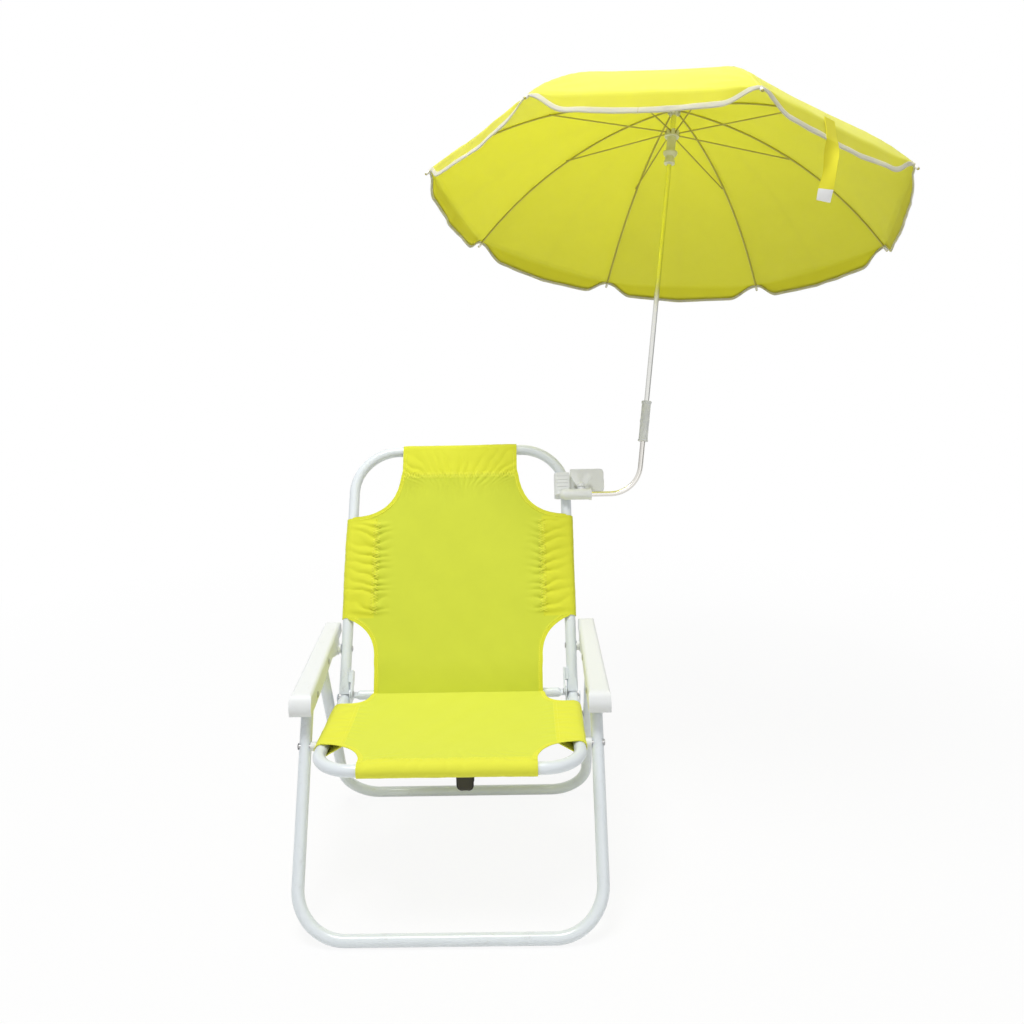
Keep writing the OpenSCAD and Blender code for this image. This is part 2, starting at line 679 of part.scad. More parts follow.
screw_places = [[-13, -9], [-13, 9], [12, -6], [12, 12]];
module clamp_back_jaw() moulded_white() on_clamp() difference() {
    union() {
        translate([0, 0, grip_low + 2]) linear_extrude(grip_high - grip_low - 2) union() {
            translate([-grip_in + 5, 0]) square([grip_in + 3, 12.5]);
            translate([-grip_in, 0]) square([grip_in + 8, 7.5]);
            translate([-grip_in + 5, 7.5]) circle(r = 5);
        }
        translate([0, plate_t, 0]) rotate([90, 0, 0]) linear_extrude(plate_t) union() {
            translate([8, plate_low]) square([plate_out - 14, plate_high - plate_low]);
            translate([10, plate_low + 6]) square([plate_out - 10, plate_high - plate_low - 12]);
            for (z = [plate_low + 6, plate_high - 6]) translate([plate_out - 6, z]) circle(r = 6);
        }
        translate([plate_out - 9, plate_t + 2, plate_low + 6]) cylinder(r = 9, h = plate_high - plate_low - 12);
    }
    tube_way();
    translate([16, 2.5, plate_low + 4]) cube([26, plate_t, plate_high - plate_low - 8]);
    translate([plate_out - 20, -10, plate_low - 1]) cube([20, 10, plate_high - plate_low + 2]);
    for (p = screw_places) translate([p[0], -0.1, p[1]]) rotate([-90, 0, 0]) cylinder(r = 1.6, h = 20);
    for (p = screw_places) translate([p[0], p[0] < 0 ? 4.5 : 5, p[1]]) rotate([-90, 0, 0])
        cylinder(r = 3.1, h = 20);
}

module clamp_screws() steel() on_clamp() for (p = screw_places) {
    y = p[0] < 0 ? 4.5 : 5;
    translate([p[0], y, p[1]]) rotate([90, 0, 0]) cylinder(r = 1.45, h = y + 3);
    translate([p[0], y + 1.8, p[1]]) rotate([90, 0, 0]) cylinder(r = 2.9, h = 1.8);
}

// Lock screw and its winged knob, pressing down on the steel arm in the socket
lock_low = rod_r + 0.1;
knob_z = socket_z + socket_d / 2 + 3.4;
module lock_screw() steel() on_clamp() translate([knob_x, socket_y, socket_z + lock_low])
    cylinder(r = lock_r, h = knob_z - socket_z - lock_low + 6);
module wing_knob() moulded_white() on_clamp() translate([knob_x, socket_y, knob_z]) difference() {
    union() {
        cylinder(r = 6.5, h = 5);
        translate([0, 0, 5]) cylinder(r1 = 6.5, r2 = 4, h = 3);
        for (s = [0, 180]) rotate([0, 0, s]) translate([0, 1.5, 0]) rotate([90, 0, 0])
            linear_extrude(3) union() {
                polygon([[1, 1], [6, 1], [knob_wing, 17], [knob_wing - 2.5, 22], [knob_wing - 7, 22],
                         [1, 7]]);
                translate([knob_wing - 4.6, 19]) circle(r = 4.4);
            }
    }
    translate([0, 0, -1]) cylinder(r = lock_r + turn_play, h = 8);
}

// Steel arm: a rod from the socket, one bend, then up into the coupling. The straight
// runs start a little way inside the bend.
rod_step = 0.01;
rod_lap = 0.5;
module umbrella_arm() steel()
    translate([corner_x, socket_c[0], socket_c[1]]) rotate([-umbrella_tilt, 0, 0]) {
        translate([-arm_reach + rod_in, 0, 0]) rotate([0, 90, 0])
            cylinder(r = rod_r - rod_step, h = arm_reach - rod_tangent - rod_in + rod_lap);
        translate([-rod_tangent, 0, arm_bend]) rotate([90, 0, 0]) rotate([0, 0, -90])
            rotate_extrude(angle = rod_turn) translate([arm_bend, 0]) circle(r = rod_r);
        rotate([0, umbrella_out, 0]) translate([0, 0, rod_tangent - rod_lap])
            cylinder(r = rod_r - rod_step, h = coupling_low + rod_hold - rod_tangent + rod_lap);
    }

module coupling_sleeve() moulded_white() on_shaft() translate([0, 0, coupling_low]) difference() {
    union() {
        cylinder(d = coupling_d, h = coupling_len);
        cylinder(d = coupling_d + 1.6, h = 3);
        translate([0, 0, coupling_len - 3]) cylinder(d = coupling_d + 1.6, h = 3);
        translate([0, 0, coupling_len / 2 - 2]) cylinder(d = coupling_d + 1, h = 4);
    }
    translate([0, 0, -1]) cylinder(r = rod_r + rod_play, h = rod_hold + 1.2);
    translate([0, 0, rod_hold + 1]) cylinder(r = rod_r + rod_play, h = coupling_len);
}

shaft_low = coupling_low + rod_hold + 1.4;
cap_low = notch_h + cloth_off + canopy_cloth + 1;
module shaft() steel() on_shaft() translate([0, 0, shaft_low]) difference() {
    cylinder(r = rod_r, h = cap_low + 3 - shaft_low);
    translate([0, 0, -1]) cylinder(r = rod_r - rod_wall, h = cap_low + 1 - shaft_low);
}

// Slots for the eyes of ribs or stretchers, open below, step to one side of each rib
slot_out = 30;
bore_past = 20;
module slots(step, width, low, high, depth) for (k = [0 : ribs - 1])
    rotate([0, 0, rib_turn + k * 360 / ribs]) translate([depth, step - width / 2, low])
    cube([slot_out, width, high - low]);

module ring(radius, r) rotate_extrude() translate([radius, 0]) circle(r = r);

module top_notch() color([0.85, 0.85, 0.82]) on_shaft() translate([0, 0, notch_h]) difference() {
    translate([0, 0, -notch_low]) cylinder(r = notch_r, h = notch_low + notch_top);
    translate([0, 0, -bore_past]) cylinder(r = rod_r + rod_play, h = 2 * bore_past);
    slots(0, rib_d + 0.5, -bore_past, bore_past, pivot_r - 2.4);
    ring(pivot_r, wire_r + 0.06);
}
module notch_wire() steel() on_shaft() translate([0, 0, notch_h]) ring(pivot_r, wire_r);

module top_cap() moulded_white() on_shaft() translate([0, 0, cap_low]) difference() {
    rotate_extrude() polygon([[0, 0], [9.5, 0], [9.5, 1.2], [6, 3.6], [5.2, 8], [3.4, 9.6], [0, 10]]);
    translate([0, 0, -1]) cylinder(r = rod_r + rod_play, h = 4.2);
}

// Runner: slides on the shaft and carries the stretchers
module runner() moulded_white() on_shaft() translate([0, 0, runner_h]) difference() {
    union() {
        translate([0, 0, -6]) cylinder(r = 11.5, h = 9.5);
        translate([0, 0, -46]) cylinder(r = 7, h = 44);
        translate([0, 0, -38.5]) cylinder(r1 = 8, r2 = 11.3, h = 5);
        translate([0, 0, -33.5]) cylinder(r = 11.3, h = 2.5);
        translate([0, 0, -50]) cylinder(r = 8.5, h = 5);
    }
    translate([0, 0, -60]) cylinder(r = rod_r + 2 * rod_play, h = 80);
    slots(side_step, stretcher_d + 0.5, -4, 20, 6.4);
    ring(runner_r, wire_r + 0.06);
}
module runner_wire() steel() on_shaft() translate([0, 0, runner_h]) ring(runner_r, wire_r);

module on_rib(k) on_shaft() rotate([0, 0, rib_turn + (k - 1) * 360 / ribs]) children();

// One rib: an eye at the notch, a wire that bows like a drawn bow, and a ball tip
module rib(k) steel() on_rib(k) translate([pivot_r, 0, notch_h]) {
    extra = tip_len / rib_bow * 180 / PI;
    difference() {
        union() {
            rotate([90, 0, 0]) translate([0, 0, -eye_t / 2]) cylinder(r = 2, h = eye_t);
            translate([-rib_bow * sin(rib_start), 0, -rib_bow * cos(rib_start)]) rotate([90, 0, 0])
                rotate([0, 0, 90 - rib_end - extra])
                rotate_extrude(angle = rib_end - rib_start + extra - 0.18)
                translate([rib_bow, 0]) circle(r = rib_r);
        }
        rotate([90, 0, 0]) translate([0, 0, -5]) cylinder(r = wire_r + 0.15, h = 10);
    }
    translate([-rib_bow * sin(rib_start) + rib_bow * sin(rib_end + extra), 0,
               -rib_bow * cos(rib_start) + rib_bow * cos(rib_end + extra)]) sphere(r = 2, $fn = 24);
}

// One stretcher: an eye on the runner's wire, a straight wire and an eye beside the rib
module stretcher(k) steel() on_rib(k) translate([stretcher_r, side_step, runner_h])
    rotate([0, -stretcher_rise, 0]) difference() {
        union() {
            rotate([90, 0, 0]) translate([0, 0, -eye_t / 2]) cylinder(r = 2, h = eye_t);
            translate([1.7, 0, 0]) rotate([0, 90, 0]) cylinder(d = stretcher_d, h = stretcher_len - 1.7);
            translate([stretcher_len, eye_t / 2, 0]) rotate([90, 0, 0])
                cylinder(d = stretcher_d + 0.1, h = eye_t);
            translate([stretcher_len, 0, 0]) rotate([90, 0, 0])
                cylinder(r = 0.7, h = side_step - rib_r - 0.2);
        }
        rotate([90, 0, 0]) translate([0, 0, -5]) cylinder(r = wire_r + 0.45, h = 10);
    }

// One canopy panel, centred on its rib: flat gores between the ribs, then the valance.
// u runs out along the rib, v from one seam (-1) over the rib (0) to the other (1).
rows_u = 14;
cols_v = 8;
seam_gap = 0.15;
cloth_sag = 3;
function lift(u) = u > 1 ? 1 : u;
function drop(v) = (valance + scallop * abs(v)) * min(1, 0.3 + 2.8 * abs(v));
function panel_a(u) = rib_start + (rib_end - rib_start) * lift(u);
function panel_r(u, v, off) = let (a = panel_a(u), r = rib_r_at(a) + off * sin(a))
    u > 1 ? r + (u - 1) * 0.25 * drop(v) : max(r, 5);
function panel_z(u, v, off) = let (a = panel_a(u), z = rib_z_at(a) + off * cos(a))
    u > 1 ? z - (u - 1) * drop(v) : z - cloth_sag * lift(u) * (1 - pow(1 - abs(v), 2));
function panel_point(u, v, off) = let (r = panel_r(u, v, off), half = 180 / ribs,
    mid = r * cos(half), c = abs(v) * (r * sin(half) * cos(half) - seam_gap / cos(half)),
    s = sign(v))
    [r - c * tan(half), s * c, panel_z(u, v, off)];
panel_us = [for (i = [0 : rows_u]) i <= rows_u - 1 ? i / (rows_u - 1) : 2];
panel_vs = [for (j = [0 : cols_v]) 2 * j / cols_v - 1];
function at(i, j) = i * len(panel_vs) + j;
function quad(a, b, c, d) = [[a, b, c], [a, c, d]];
module canopy_panel(k) yellow() on_rib(k) {
    m = len(panel_us) - 1;
    w = len(panel_vs) - 1;
    n = (m + 1) * (w + 1);
    low = [for (u = panel_us, v = panel_vs) panel_point(u, v, cloth_off)];
    high = [for (u = panel_us, v = panel_vs) panel_point(u, v, cloth_off + canopy_cloth)];
    difference() {
        polyhedron(points = concat(low, high), faces = concat(
            [for (i = [0 : m - 1], j = [0 : w - 1])
                each quad(at(i, j), at(i, j + 1), at(i + 1, j + 1), at(i + 1, j))],
            [for (i = [0 : m - 1], j = [0 : w - 1])
                each quad(n + at(i, j), n + at(i + 1, j), n + at(i + 1, j + 1), n + at(i, j + 1))],
            [for (i = [0 : m - 1]) each quad(at(i, 0), at(i + 1, 0), n + at(i + 1, 0), n + at(i, 0))],
            [for (i = [0 : m - 1]) each quad(at(i + 1, w), at(i, w), n + at(i, w), n + at(i + 1, w))],
            [for (j = [0 : w - 1]) each quad(at(0, j + 1), at(0, j), n + at(0, j), n + at(0, j + 1))],
            [for (j = [0 : w - 1]) each quad(at(m, j), at(m, j + 1), n + at(m, j + 1), n + at(m, j))]));
        translate([rib_r_at(rib_end), 0, rib_z_at(rib_end)]) rotate([0, 90 + rib_end, 0])
            cylinder(r = rib_r + 0.6, h = tip_len + 4);
    }
}

// Tie strap: a ribbon sewn to the rim between two ribs. It lies on the valance, then
// hangs straight down.
tie_rib = 7;
tie_w = 18;
tie_t = 1.2;
tie_drop = 80;
tie_back = 0.21;
tie_side = 28;
module tie_strap() yellow() on_shaft() rotate([0, 0, rib_turn + (tie_rib - 0.5) * 360 / ribs])
    translate([0, tie_w / 2 - tie_side, 0]) rotate([90, 0, 0]) linear_extrude(tie_w) {
        deep = valance + scallop;
        r0 = rib_r_at(rib_end) * cos(180 / ribs) + cloth_off + 0.5;
        z0 = rib_z_at(rib_end);
        polygon([[r0, z0 + 1], [r0 + deep / 4, z0 - deep],
                 [r0 + deep / 4 - tie_back * tie_drop, z0 - deep - tie_drop],
                 [r0 + deep / 4 - tie_back * tie_drop + tie_t, z0 - deep - tie_drop],
                 [r0 + deep / 4 + tie_t, z0 - deep], [r0 + tie_t, z0 + 1]]);
    }

front_leg_frame();
rear_leg_frame();
seat_frame();
back_frame();
rear_crossbar();
left_armrest();
right_armrest();
seat_sling();
back_sling();
carry_strap();
leg_pivot_rivets();
leg_pivot_spacers();
hinge_rivets();
stay_pivot_rivets();
arm_rear_rivets();
arm_rear_spacers();
arm_front_rivets();
rear_leg_rivets();
stay_links();
stay_end_rivets();
clamp_body();
clamp_back_jaw();
clamp_screws();
lock_screw();
wing_knob();
umbrella_arm();
coupling_sleeve();
shaft();
top_notch();
notch_wire();
top_cap();
runner();
runner_wire();
tie_strap();
for (k = hub_ids) rib(k);
for (k = hub_ids) stretcher(k);
for (k = hub_ids) canopy_panel(k);
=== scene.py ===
# %% [markdown]
# # A child's folding beach chair with its own umbrella
#
# The chair is white painted tube with yellow cloth slings, and a small umbrella clamps to
# its back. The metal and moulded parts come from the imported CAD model, which stays as it
# is. Blender makes what CAD shows badly: cloth, hems, stitching, tape and finishes.

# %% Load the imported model
import bpy
import bmesh
import math
import numpy as np
from mathutils import Matrix, Vector, noise


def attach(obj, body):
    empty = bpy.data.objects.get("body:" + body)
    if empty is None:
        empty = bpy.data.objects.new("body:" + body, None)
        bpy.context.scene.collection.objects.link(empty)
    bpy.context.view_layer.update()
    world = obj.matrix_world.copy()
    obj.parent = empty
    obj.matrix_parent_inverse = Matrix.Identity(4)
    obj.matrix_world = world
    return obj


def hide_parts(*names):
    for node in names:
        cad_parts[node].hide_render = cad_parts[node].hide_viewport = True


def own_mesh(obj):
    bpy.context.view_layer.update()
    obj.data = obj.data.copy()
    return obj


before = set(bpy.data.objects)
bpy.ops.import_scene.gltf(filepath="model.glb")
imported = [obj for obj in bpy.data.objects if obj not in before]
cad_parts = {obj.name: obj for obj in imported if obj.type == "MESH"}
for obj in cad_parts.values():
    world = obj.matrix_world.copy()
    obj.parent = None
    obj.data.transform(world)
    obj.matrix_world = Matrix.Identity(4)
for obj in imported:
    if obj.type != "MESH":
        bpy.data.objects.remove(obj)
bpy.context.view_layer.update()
MM = 0.001

# %% [markdown]
# ## Camera
#
# A camera copies the photograph when it stands where the real one stood. Its place was
# worked out from points on the tubes: a metre in front of the chair, three quarters of a
# metre up, looking a little down. The lens is slightly wide, so the near foot looks large.

# %% Camera
def add_object(name, data):
    thing = bpy.data.objects.new(name, data)
    bpy.context.scene.collection.objects.link(thing)
    return thing


EYE = Vector((0.09674, -0.98941, 0.77138))
RIGHT = Vector((0.999794, 0.006388, -0.019254))
DOWN = Vector((-0.017321, -0.225289, -0.974138))
AHEAD = Vector((-0.010561, 0.974271, -0.225132))

camera_data = bpy.data.cameras.new("camera")
camera_data.sensor_width = 36
camera_data.lens = 32.70
camera = add_object("camera", camera_data)
turn = Matrix((RIGHT, -DOWN, -AHEAD)).transposed()
camera.matrix_world = Matrix.Translation(EYE) @ turn.to_4x4()
bpy.context.scene.camera = camera
bpy.context.scene.view_settings.view_transform = "Standard"
print("camera at", tuple(EYE), "lens", camera_data.lens)

# %% [markdown]
# ## Studio
#
# The photograph is a cut-out on white. Here the floor and the world look white to the
# camera and in reflections, while the lamps stay at a plain level, so the yellow isn't
# washed out. Near the chair the floor mixes its own shading with white, which keeps a faint
# shadow. Further away it turns to the same plain white as the world, so no horizon shows.
# To the left and right the world is darker for every ray but the camera's, like the walls of
# a room, so bright metal gets dark stripes.

# %% Helpers for meshes and materials
def add_mesh(name, bm, material):
    mesh = bpy.data.meshes.new(name)
    bm.to_mesh(mesh)
    bm.free()
    mesh.materials.append(material)
    return add_object(name, mesh)


def new_material(name):
    material = bpy.data.materials.new(name)
    material.use_nodes = True
    tree = material.node_tree
    tree.nodes.clear()
    out = tree.nodes.new("ShaderNodeOutputMaterial")
    return material, tree, out


def feed(tree, node, values):
    """Gives each named input its number, its colour or another node's output."""
    for name, value in values.items():
        if isinstance(value, bpy.types.NodeSocket):
            tree.links.new(value, node.inputs[name])
        else:
            node.inputs[name].default_value = value


def math_node(tree, operation, a, b=None, clamp=False):
    node = tree.nodes.new("ShaderNodeMath")
    node.operation = operation
    node.use_clamp = clamp
    feed(tree, node, {0: a} if b is None else {0: a, 1: b})
    return node.outputs[0]


def math_chain(tree, value, *steps):
    """Sends a value through steps of an operation, its number and True where it is clamped."""
    for operation, *rest in steps:
        value = math_node(tree, operation, value, *rest)
    return value


def colour_mix(tree, factor, a, b):
    """Mixes colour a with colour b. a may also be a node's output."""
    node = tree.nodes.new("ShaderNodeMix")
    node.data_type = "RGBA"
    first = (*a, 1) if isinstance(a, tuple) else a
    feed(tree, node, {"A": first, "B": (*b, 1), "Factor": factor})
    return node.outputs["Result"]


def add_bump(tree, shader, height, distance, strength):
    node = tree.nodes.new("ShaderNodeBump")
    feed(tree, node, {"Distance": distance, "Strength": strength, "Height": height})
    tree.links.new(node.outputs["Normal"], shader.inputs["Normal"])


def split_vector(tree, vector):
    node = tree.nodes.new("ShaderNodeSeparateXYZ")
    tree.links.new(vector, node.inputs[0])
    return node.outputs


def seen_directly(tree):
    """1 for rays from the camera, in mirrors and through clear things, 0 for plain light."""
    path = tree.nodes.new("ShaderNodeLightPath")
    seen = math_node(tree, "MAXIMUM", path.outputs["Is Camera Ray"], path.outputs["Is Glossy Ray"])
    return math_node(tree, "MAXIMUM", seen, path.outputs["Is Transmission Ray"])


# %% Floor, world and lamps
FLOOR_SIZE, FLOOR_WHITE, SHADOW_R, PLAIN_R = 30, 0.90, 0.6, 1.9
floor_finish, tree, out = new_material("white_floor")
plain = tree.nodes.new("ShaderNodeBsdfPrincipled")
feed(tree, plain, {"Base Color": (0.86, 0.86, 0.86, 1), "Roughness": 0.9})
glow = tree.nodes.new("ShaderNodeEmission")
feed(tree, glow, {"Strength": 1.0})
spot = tree.nodes.new("ShaderNodeTexCoord").outputs["Object"]
far = tree.nodes.new("ShaderNodeVectorMath")
far.operation = "LENGTH"
tree.links.new(spot, far.inputs[0])
share = math_chain(tree, far.outputs["Value"], ("SUBTRACT", SHADOW_R),
                   ("DIVIDE", PLAIN_R - SHADOW_R, True), ("MULTIPLY", 1 - FLOOR_WHITE),
                   ("ADD", FLOOR_WHITE), ("MULTIPLY", seen_directly(tree)))
mix = tree.nodes.new("ShaderNodeMixShader")
feed(tree, mix, {0: share, 1: plain.outputs[0], 2: glow.outputs[0]})
tree.links.new(mix.outputs[0], out.inputs["Surface"])
floor_bm = bmesh.new()
bmesh.ops.create_grid(floor_bm, x_segments=1, y_segments=1, size=FLOOR_SIZE / 2)
floor = add_mesh("floor", floor_bm, floor_finish)

world = bpy.data.worlds.new("studio")
world.use_nodes = True
bpy.context.scene.world = world
tree = world.node_tree
tree.nodes.clear()
out = tree.nodes.new("ShaderNodeOutputWorld")
sky = tree.nodes.new("ShaderNodeBackground")
WORLD_LIGHT, WALL_DARK, WALL_FROM, WALL_EDGE, WALL_HEIGHT = 0.50, 0.8, 0.62, 5, 2.2
sideways, _, up = split_vector(tree, tree.nodes.new("ShaderNodeTexCoord").outputs["Generated"])
low = math_node(tree, "MULTIPLY", math_node(tree, "ABSOLUTE", up), WALL_HEIGHT)
camera_ray = tree.nodes.new("ShaderNodeLightPath").outputs["Is Camera Ray"]
wall = math_chain(tree, math_node(tree, "ABSOLUTE", sideways), ("SUBTRACT", WALL_FROM),
                  ("MULTIPLY", WALL_EDGE, True),
                  ("MULTIPLY", math_node(tree, "SUBTRACT", 1, low, True)),
                  ("MULTIPLY", WALL_DARK),
                  ("MULTIPLY", math_node(tree, "SUBTRACT", 1, camera_ray)))
strength = math_chain(tree, seen_directly(tree), ("MULTIPLY", 1 - WORLD_LIGHT),
                      ("ADD", WORLD_LIGHT), ("MULTIPLY", math_node(tree, "SUBTRACT", 1, wall)))
feed(tree, sky, {"Strength": strength, "Color": (1, 1, 1, 1)})
tree.links.new(sky.outputs[0], out.inputs["Surface"])


def lamp(name, at, aim, size, watts):
    data = bpy.data.lights.new(name, "AREA")
    data.size = size
    data.energy = watts
    thing = add_object(name, data)
    thing.location = at
    thing.rotation_euler = (Vector(aim) - Vector(at)).to_track_quat("-Z", "Y").to_euler()


lamp("key_lamp", (-0.3, -0.1, 2.8), (0.1, 0.25, 0.3), 0.9, 43)
lamp("front_lamp", (0.9, -2.2, 0.9), (0.1, 0.3, 0.6), 1.8, 5)
lamp("back_lamp", (0.6, 2.2, 1.9), (0.1, 0.3, 0.5), 1.4, 4)
print("studio: world light", WORLD_LIGHT, "and three soft lamps")

# %% [markdown]
# ## Shared effects
#
# Several finishes share the same small effects: cloth threads, a sewn line, fine grain and
# light scuffs. Each effect is a node group, built once. A group only puts out values; the
# shader itself stays in each material, where its constant numbers are set directly.

# %% Start a node group
def new_group(name, takes, gives):
    group = bpy.data.node_groups.new(name, "ShaderNodeTree")
    for socket, kind, value in takes:
        made = group.interface.new_socket(socket, in_out="INPUT", socket_type=kind)
        if value is not None:
            made.default_value = value
    for socket in gives:
        group.interface.new_socket(socket, in_out="OUTPUT", socket_type="NodeSocketFloat")
    return group, group.nodes.new("NodeGroupInput"), group.nodes.new("NodeGroupOutput")


def noise_value(tree, vector, scale, detail=2.0, roughness=0.5):
    node = tree.nodes.new("ShaderNodeTexNoise")
    feed(tree, node, {"Scale": scale, "Detail": detail, "Roughness": roughness, "Vector": vector})
    return node.outputs["Fac"]


def use_group(tree, group, values):
    """Places a node group, feeds it and gives its outputs."""
    node = tree.nodes.new("ShaderNodeGroup")
    node.node_tree = group
    feed(tree, node, values)
    return node.outputs


# %% Threads of a plain weave
# Warp and weft pass over each other in turn. The product of two sine waves rises and falls
# like that, and slow noise makes some threads a little thicker, as in real yarn.
weave, inside, outside = new_group(
    "plain_weave",
    [("Vector", "NodeSocketVector", None), ("Threads", "NodeSocketFloat", 900.0)],
    ["Height", "Shade"])
x, y, z = split_vector(weave, inside.outputs["Vector"])
waves = []
for axis in (x, y):
    step = math_node(weave, "MULTIPLY", axis, inside.outputs["Threads"])
    waves.append(math_node(weave, "SINE", math_node(weave, "MULTIPLY", step, 2 * math.pi)))
over = math_node(weave, "MULTIPLY", waves[0], waves[1])
height = math_node(weave, "ADD", math_node(weave, "MULTIPLY", over, 0.5), 0.5)
yarn = noise_value(weave, inside.outputs["Vector"], 420, 1)
slow = noise_value(weave, inside.outputs["Vector"], 26, 3, 0.6)
feed(weave, outside, {"Height": math_node(weave, "MULTIPLY", height, yarn), "Shade": slow})

# %% A sewn line
# Distance is how far a point is from the line, Along how far it is down the line. The line
# is broken into stitches by a wave along it.
sewn, inside, outside = new_group(
    "sewn_line",
    [("Distance", "NodeSocketFloat", 0.0), ("Along", "NodeSocketFloat", 0.0),
     ("Offset", "NodeSocketFloat", 0.003), ("Stitch", "NodeSocketFloat", 0.0032)],
    ["Mask"])
away = math_node(sewn, "SUBTRACT", math_node(sewn, "ABSOLUTE", inside.outputs["Distance"]),
                 inside.outputs["Offset"])
near = math_node(sewn, "LESS_THAN", math_node(sewn, "ABSOLUTE", away), 0.00032)
beat = math_node(sewn, "DIVIDE", inside.outputs["Along"], inside.outputs["Stitch"])
beat = math_node(sewn, "LESS_THAN", math_node(sewn, "FRACT", beat), 0.72)
sewn.links.new(math_node(sewn, "MULTIPLY", near, beat), outside.inputs["Mask"])

# %% Fine grain and scuffs
grain, inside, outside = new_group(
    "grain_and_scuffs",
    [("Vector", "NodeSocketVector", None), ("Grain Size", "NodeSocketFloat", 900.0)],
    ["Grain", "Scuffs", "Cloud"])
fine = noise_value(grain, inside.outputs["Vector"], inside.outputs["Grain Size"])
patch = noise_value(grain, inside.outputs["Vector"], 34, 4, 0.7)
streak = noise_value(grain, inside.outputs["Vector"], 260, 3, 0.8)
scuff = math_chain(grain, patch, ("SUBTRACT", 0.56, True), ("MULTIPLY", 9, True),
                   ("MULTIPLY", math_node(grain, "SUBTRACT", streak, 0.42, True)),
                   ("MULTIPLY", 2.4, True))
feed(grain, outside, {"Grain": fine, "Scuffs": scuff,
                      "Cloud": noise_value(grain, inside.outputs["Vector"], 9, 2)})
print("node groups:", [group.name for group in bpy.data.node_groups])

# %% [markdown]
# ## Hard finishes
#
# The tubes are powder painted, the armrests and clamp are moulded, and the arm, shaft,
# ribs and rivets are bright steel. Each finish has fine grain in its bump and small changes
# in its gloss, so highlights break up as they do on real paint and steel. The patterns read
# Object coordinates, because a CAD node has no cloth map and doesn't move in its own space.

# %% One maker for the hard finishes
def hard_finish(name, colour, worn, roughness, metallic=0.0, coat=0.0, grain_size=900.0,
                bump=0.00004, spread=0.08, foot_wear=False):
    material, tree, out = new_material(name)
    shader = tree.nodes.new("ShaderNodeBsdfPrincipled")
    where = tree.nodes.new("ShaderNodeTexCoord").outputs["Object"]
    effect = use_group(tree, grain, {"Grain Size": grain_size, "Vector": where})
    wear = effect["Scuffs"]
    if foot_wear:
        low = math_chain(tree, split_vector(tree, where)[2], ("MULTIPLY", -150), ("ADD", 1.1, True),
                         ("MULTIPLY", noise_value(tree, where, 75, 3, 0.7), True))
        wear = math_node(tree, "MAXIMUM", wear, low)
    gloss = math_chain(tree, effect["Cloud"], ("MULTIPLY", spread), ("ADD", roughness - spread / 2),
                       ("ADD", math_node(tree, "MULTIPLY", wear, 0.25), True))
    feed(tree, shader, {"Metallic": metallic, "Coat Weight": coat, "Coat Roughness": 0.12,
                        "Base Color": colour_mix(tree, wear, colour, worn), "Roughness": gloss})
    add_bump(tree, shader, effect["Grain"], bump, 0.6)
    tree.links.new(shader.outputs[0], out.inputs["Surface"])
    return material


# %% The hard finishes
frame_paint = hard_finish("frame_paint", (0.76, 0.81, 0.84), (0.60, 0.62, 0.62), 0.30,
                          coat=0.35, grain_size=420, bump=0.00006, foot_wear=True)
moulded_white = hard_finish("moulded_white", (0.80, 0.82, 0.82), (0.72, 0.73, 0.72), 0.42,
                            grain_size=1500, bump=0.00005)
rivet_steel = hard_finish("rivet_steel", (0.50, 0.50, 0.50), (0.30, 0.29, 0.28), 0.34,
                          metallic=1.0, grain_size=1800)
arm_steel = hard_finish("arm_steel", (0.72, 0.70, 0.66), (0.52, 0.51, 0.49), 0.20,
                        metallic=1.0, grain_size=1400, bump=0.00002)
shaft_steel = hard_finish("shaft_steel", (0.78, 0.78, 0.75), (0.58, 0.58, 0.56), 0.14,
                          metallic=1.0, grain_size=1400, bump=0.00002)
# The yellow of the ribs, stretchers and wires is a painted reflection of the yellow canopy.
rib_steel = hard_finish("rib_steel", (0.42, 0.38, 0.11), (0.28, 0.25, 0.09), 0.38,
                        metallic=0.9, grain_size=1600)
# The yellow tint of the runner and top notch is a painted reflection of the canopy above them.
hub_plastic_painted_reflection = hard_finish("hub_plastic_painted_reflection", (0.78, 0.79, 0.55), (0.68, 0.68, 0.48), 0.40,
                          grain_size=1500, bump=0.00005)
tip_white = hard_finish("tip_white", (0.80, 0.79, 0.74), (0.60, 0.59, 0.55), 0.45,
                        grain_size=1500)

# %% Put the hard finishes on the CAD nodes
FINISHES = [
    (frame_paint, ["front_leg_frame", "rear_leg_frame", "seat_frame", "back_frame",
                   "rear_crossbar", "stay_links"]),
    (moulded_white, ["left_armrest", "right_armrest", "leg_pivot_spacers", "arm_rear_spacers",
                     "clamp_body", "clamp_back_jaw", "wing_knob", "coupling_sleeve", "top_cap"]),
    (hub_plastic_painted_reflection, ["runner", "top_notch"]),
    (arm_steel, ["umbrella_arm", "lock_screw"]),
    (shaft_steel, ["shaft"]),
]
finish_of = {node_name: finish for finish, node_names in FINISHES for node_name in node_names}
for node_name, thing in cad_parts.items():
    if node_name.startswith(("rib_", "stretcher_")) or node_name.endswith("_wire"):
        finish = rib_steel
    else:
        finish = finish_of.get(node_name, rivet_steel)
    thing.data.materials.clear()
    thing.data.materials.append(finish)
print("finished", len(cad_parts), "CAD nodes")

# %% [markdown]
# ## Cloth finishes
#
# The slings and canopy are a plain-woven polyester. From a metre away its threads only
# soften the shine, so they go in the bump, with a faint change of tone. The pattern reads a
# UV map called cloth that holds real metres on the flat cloth, so threads have one size on
# every piece and follow it when it bends or folds.

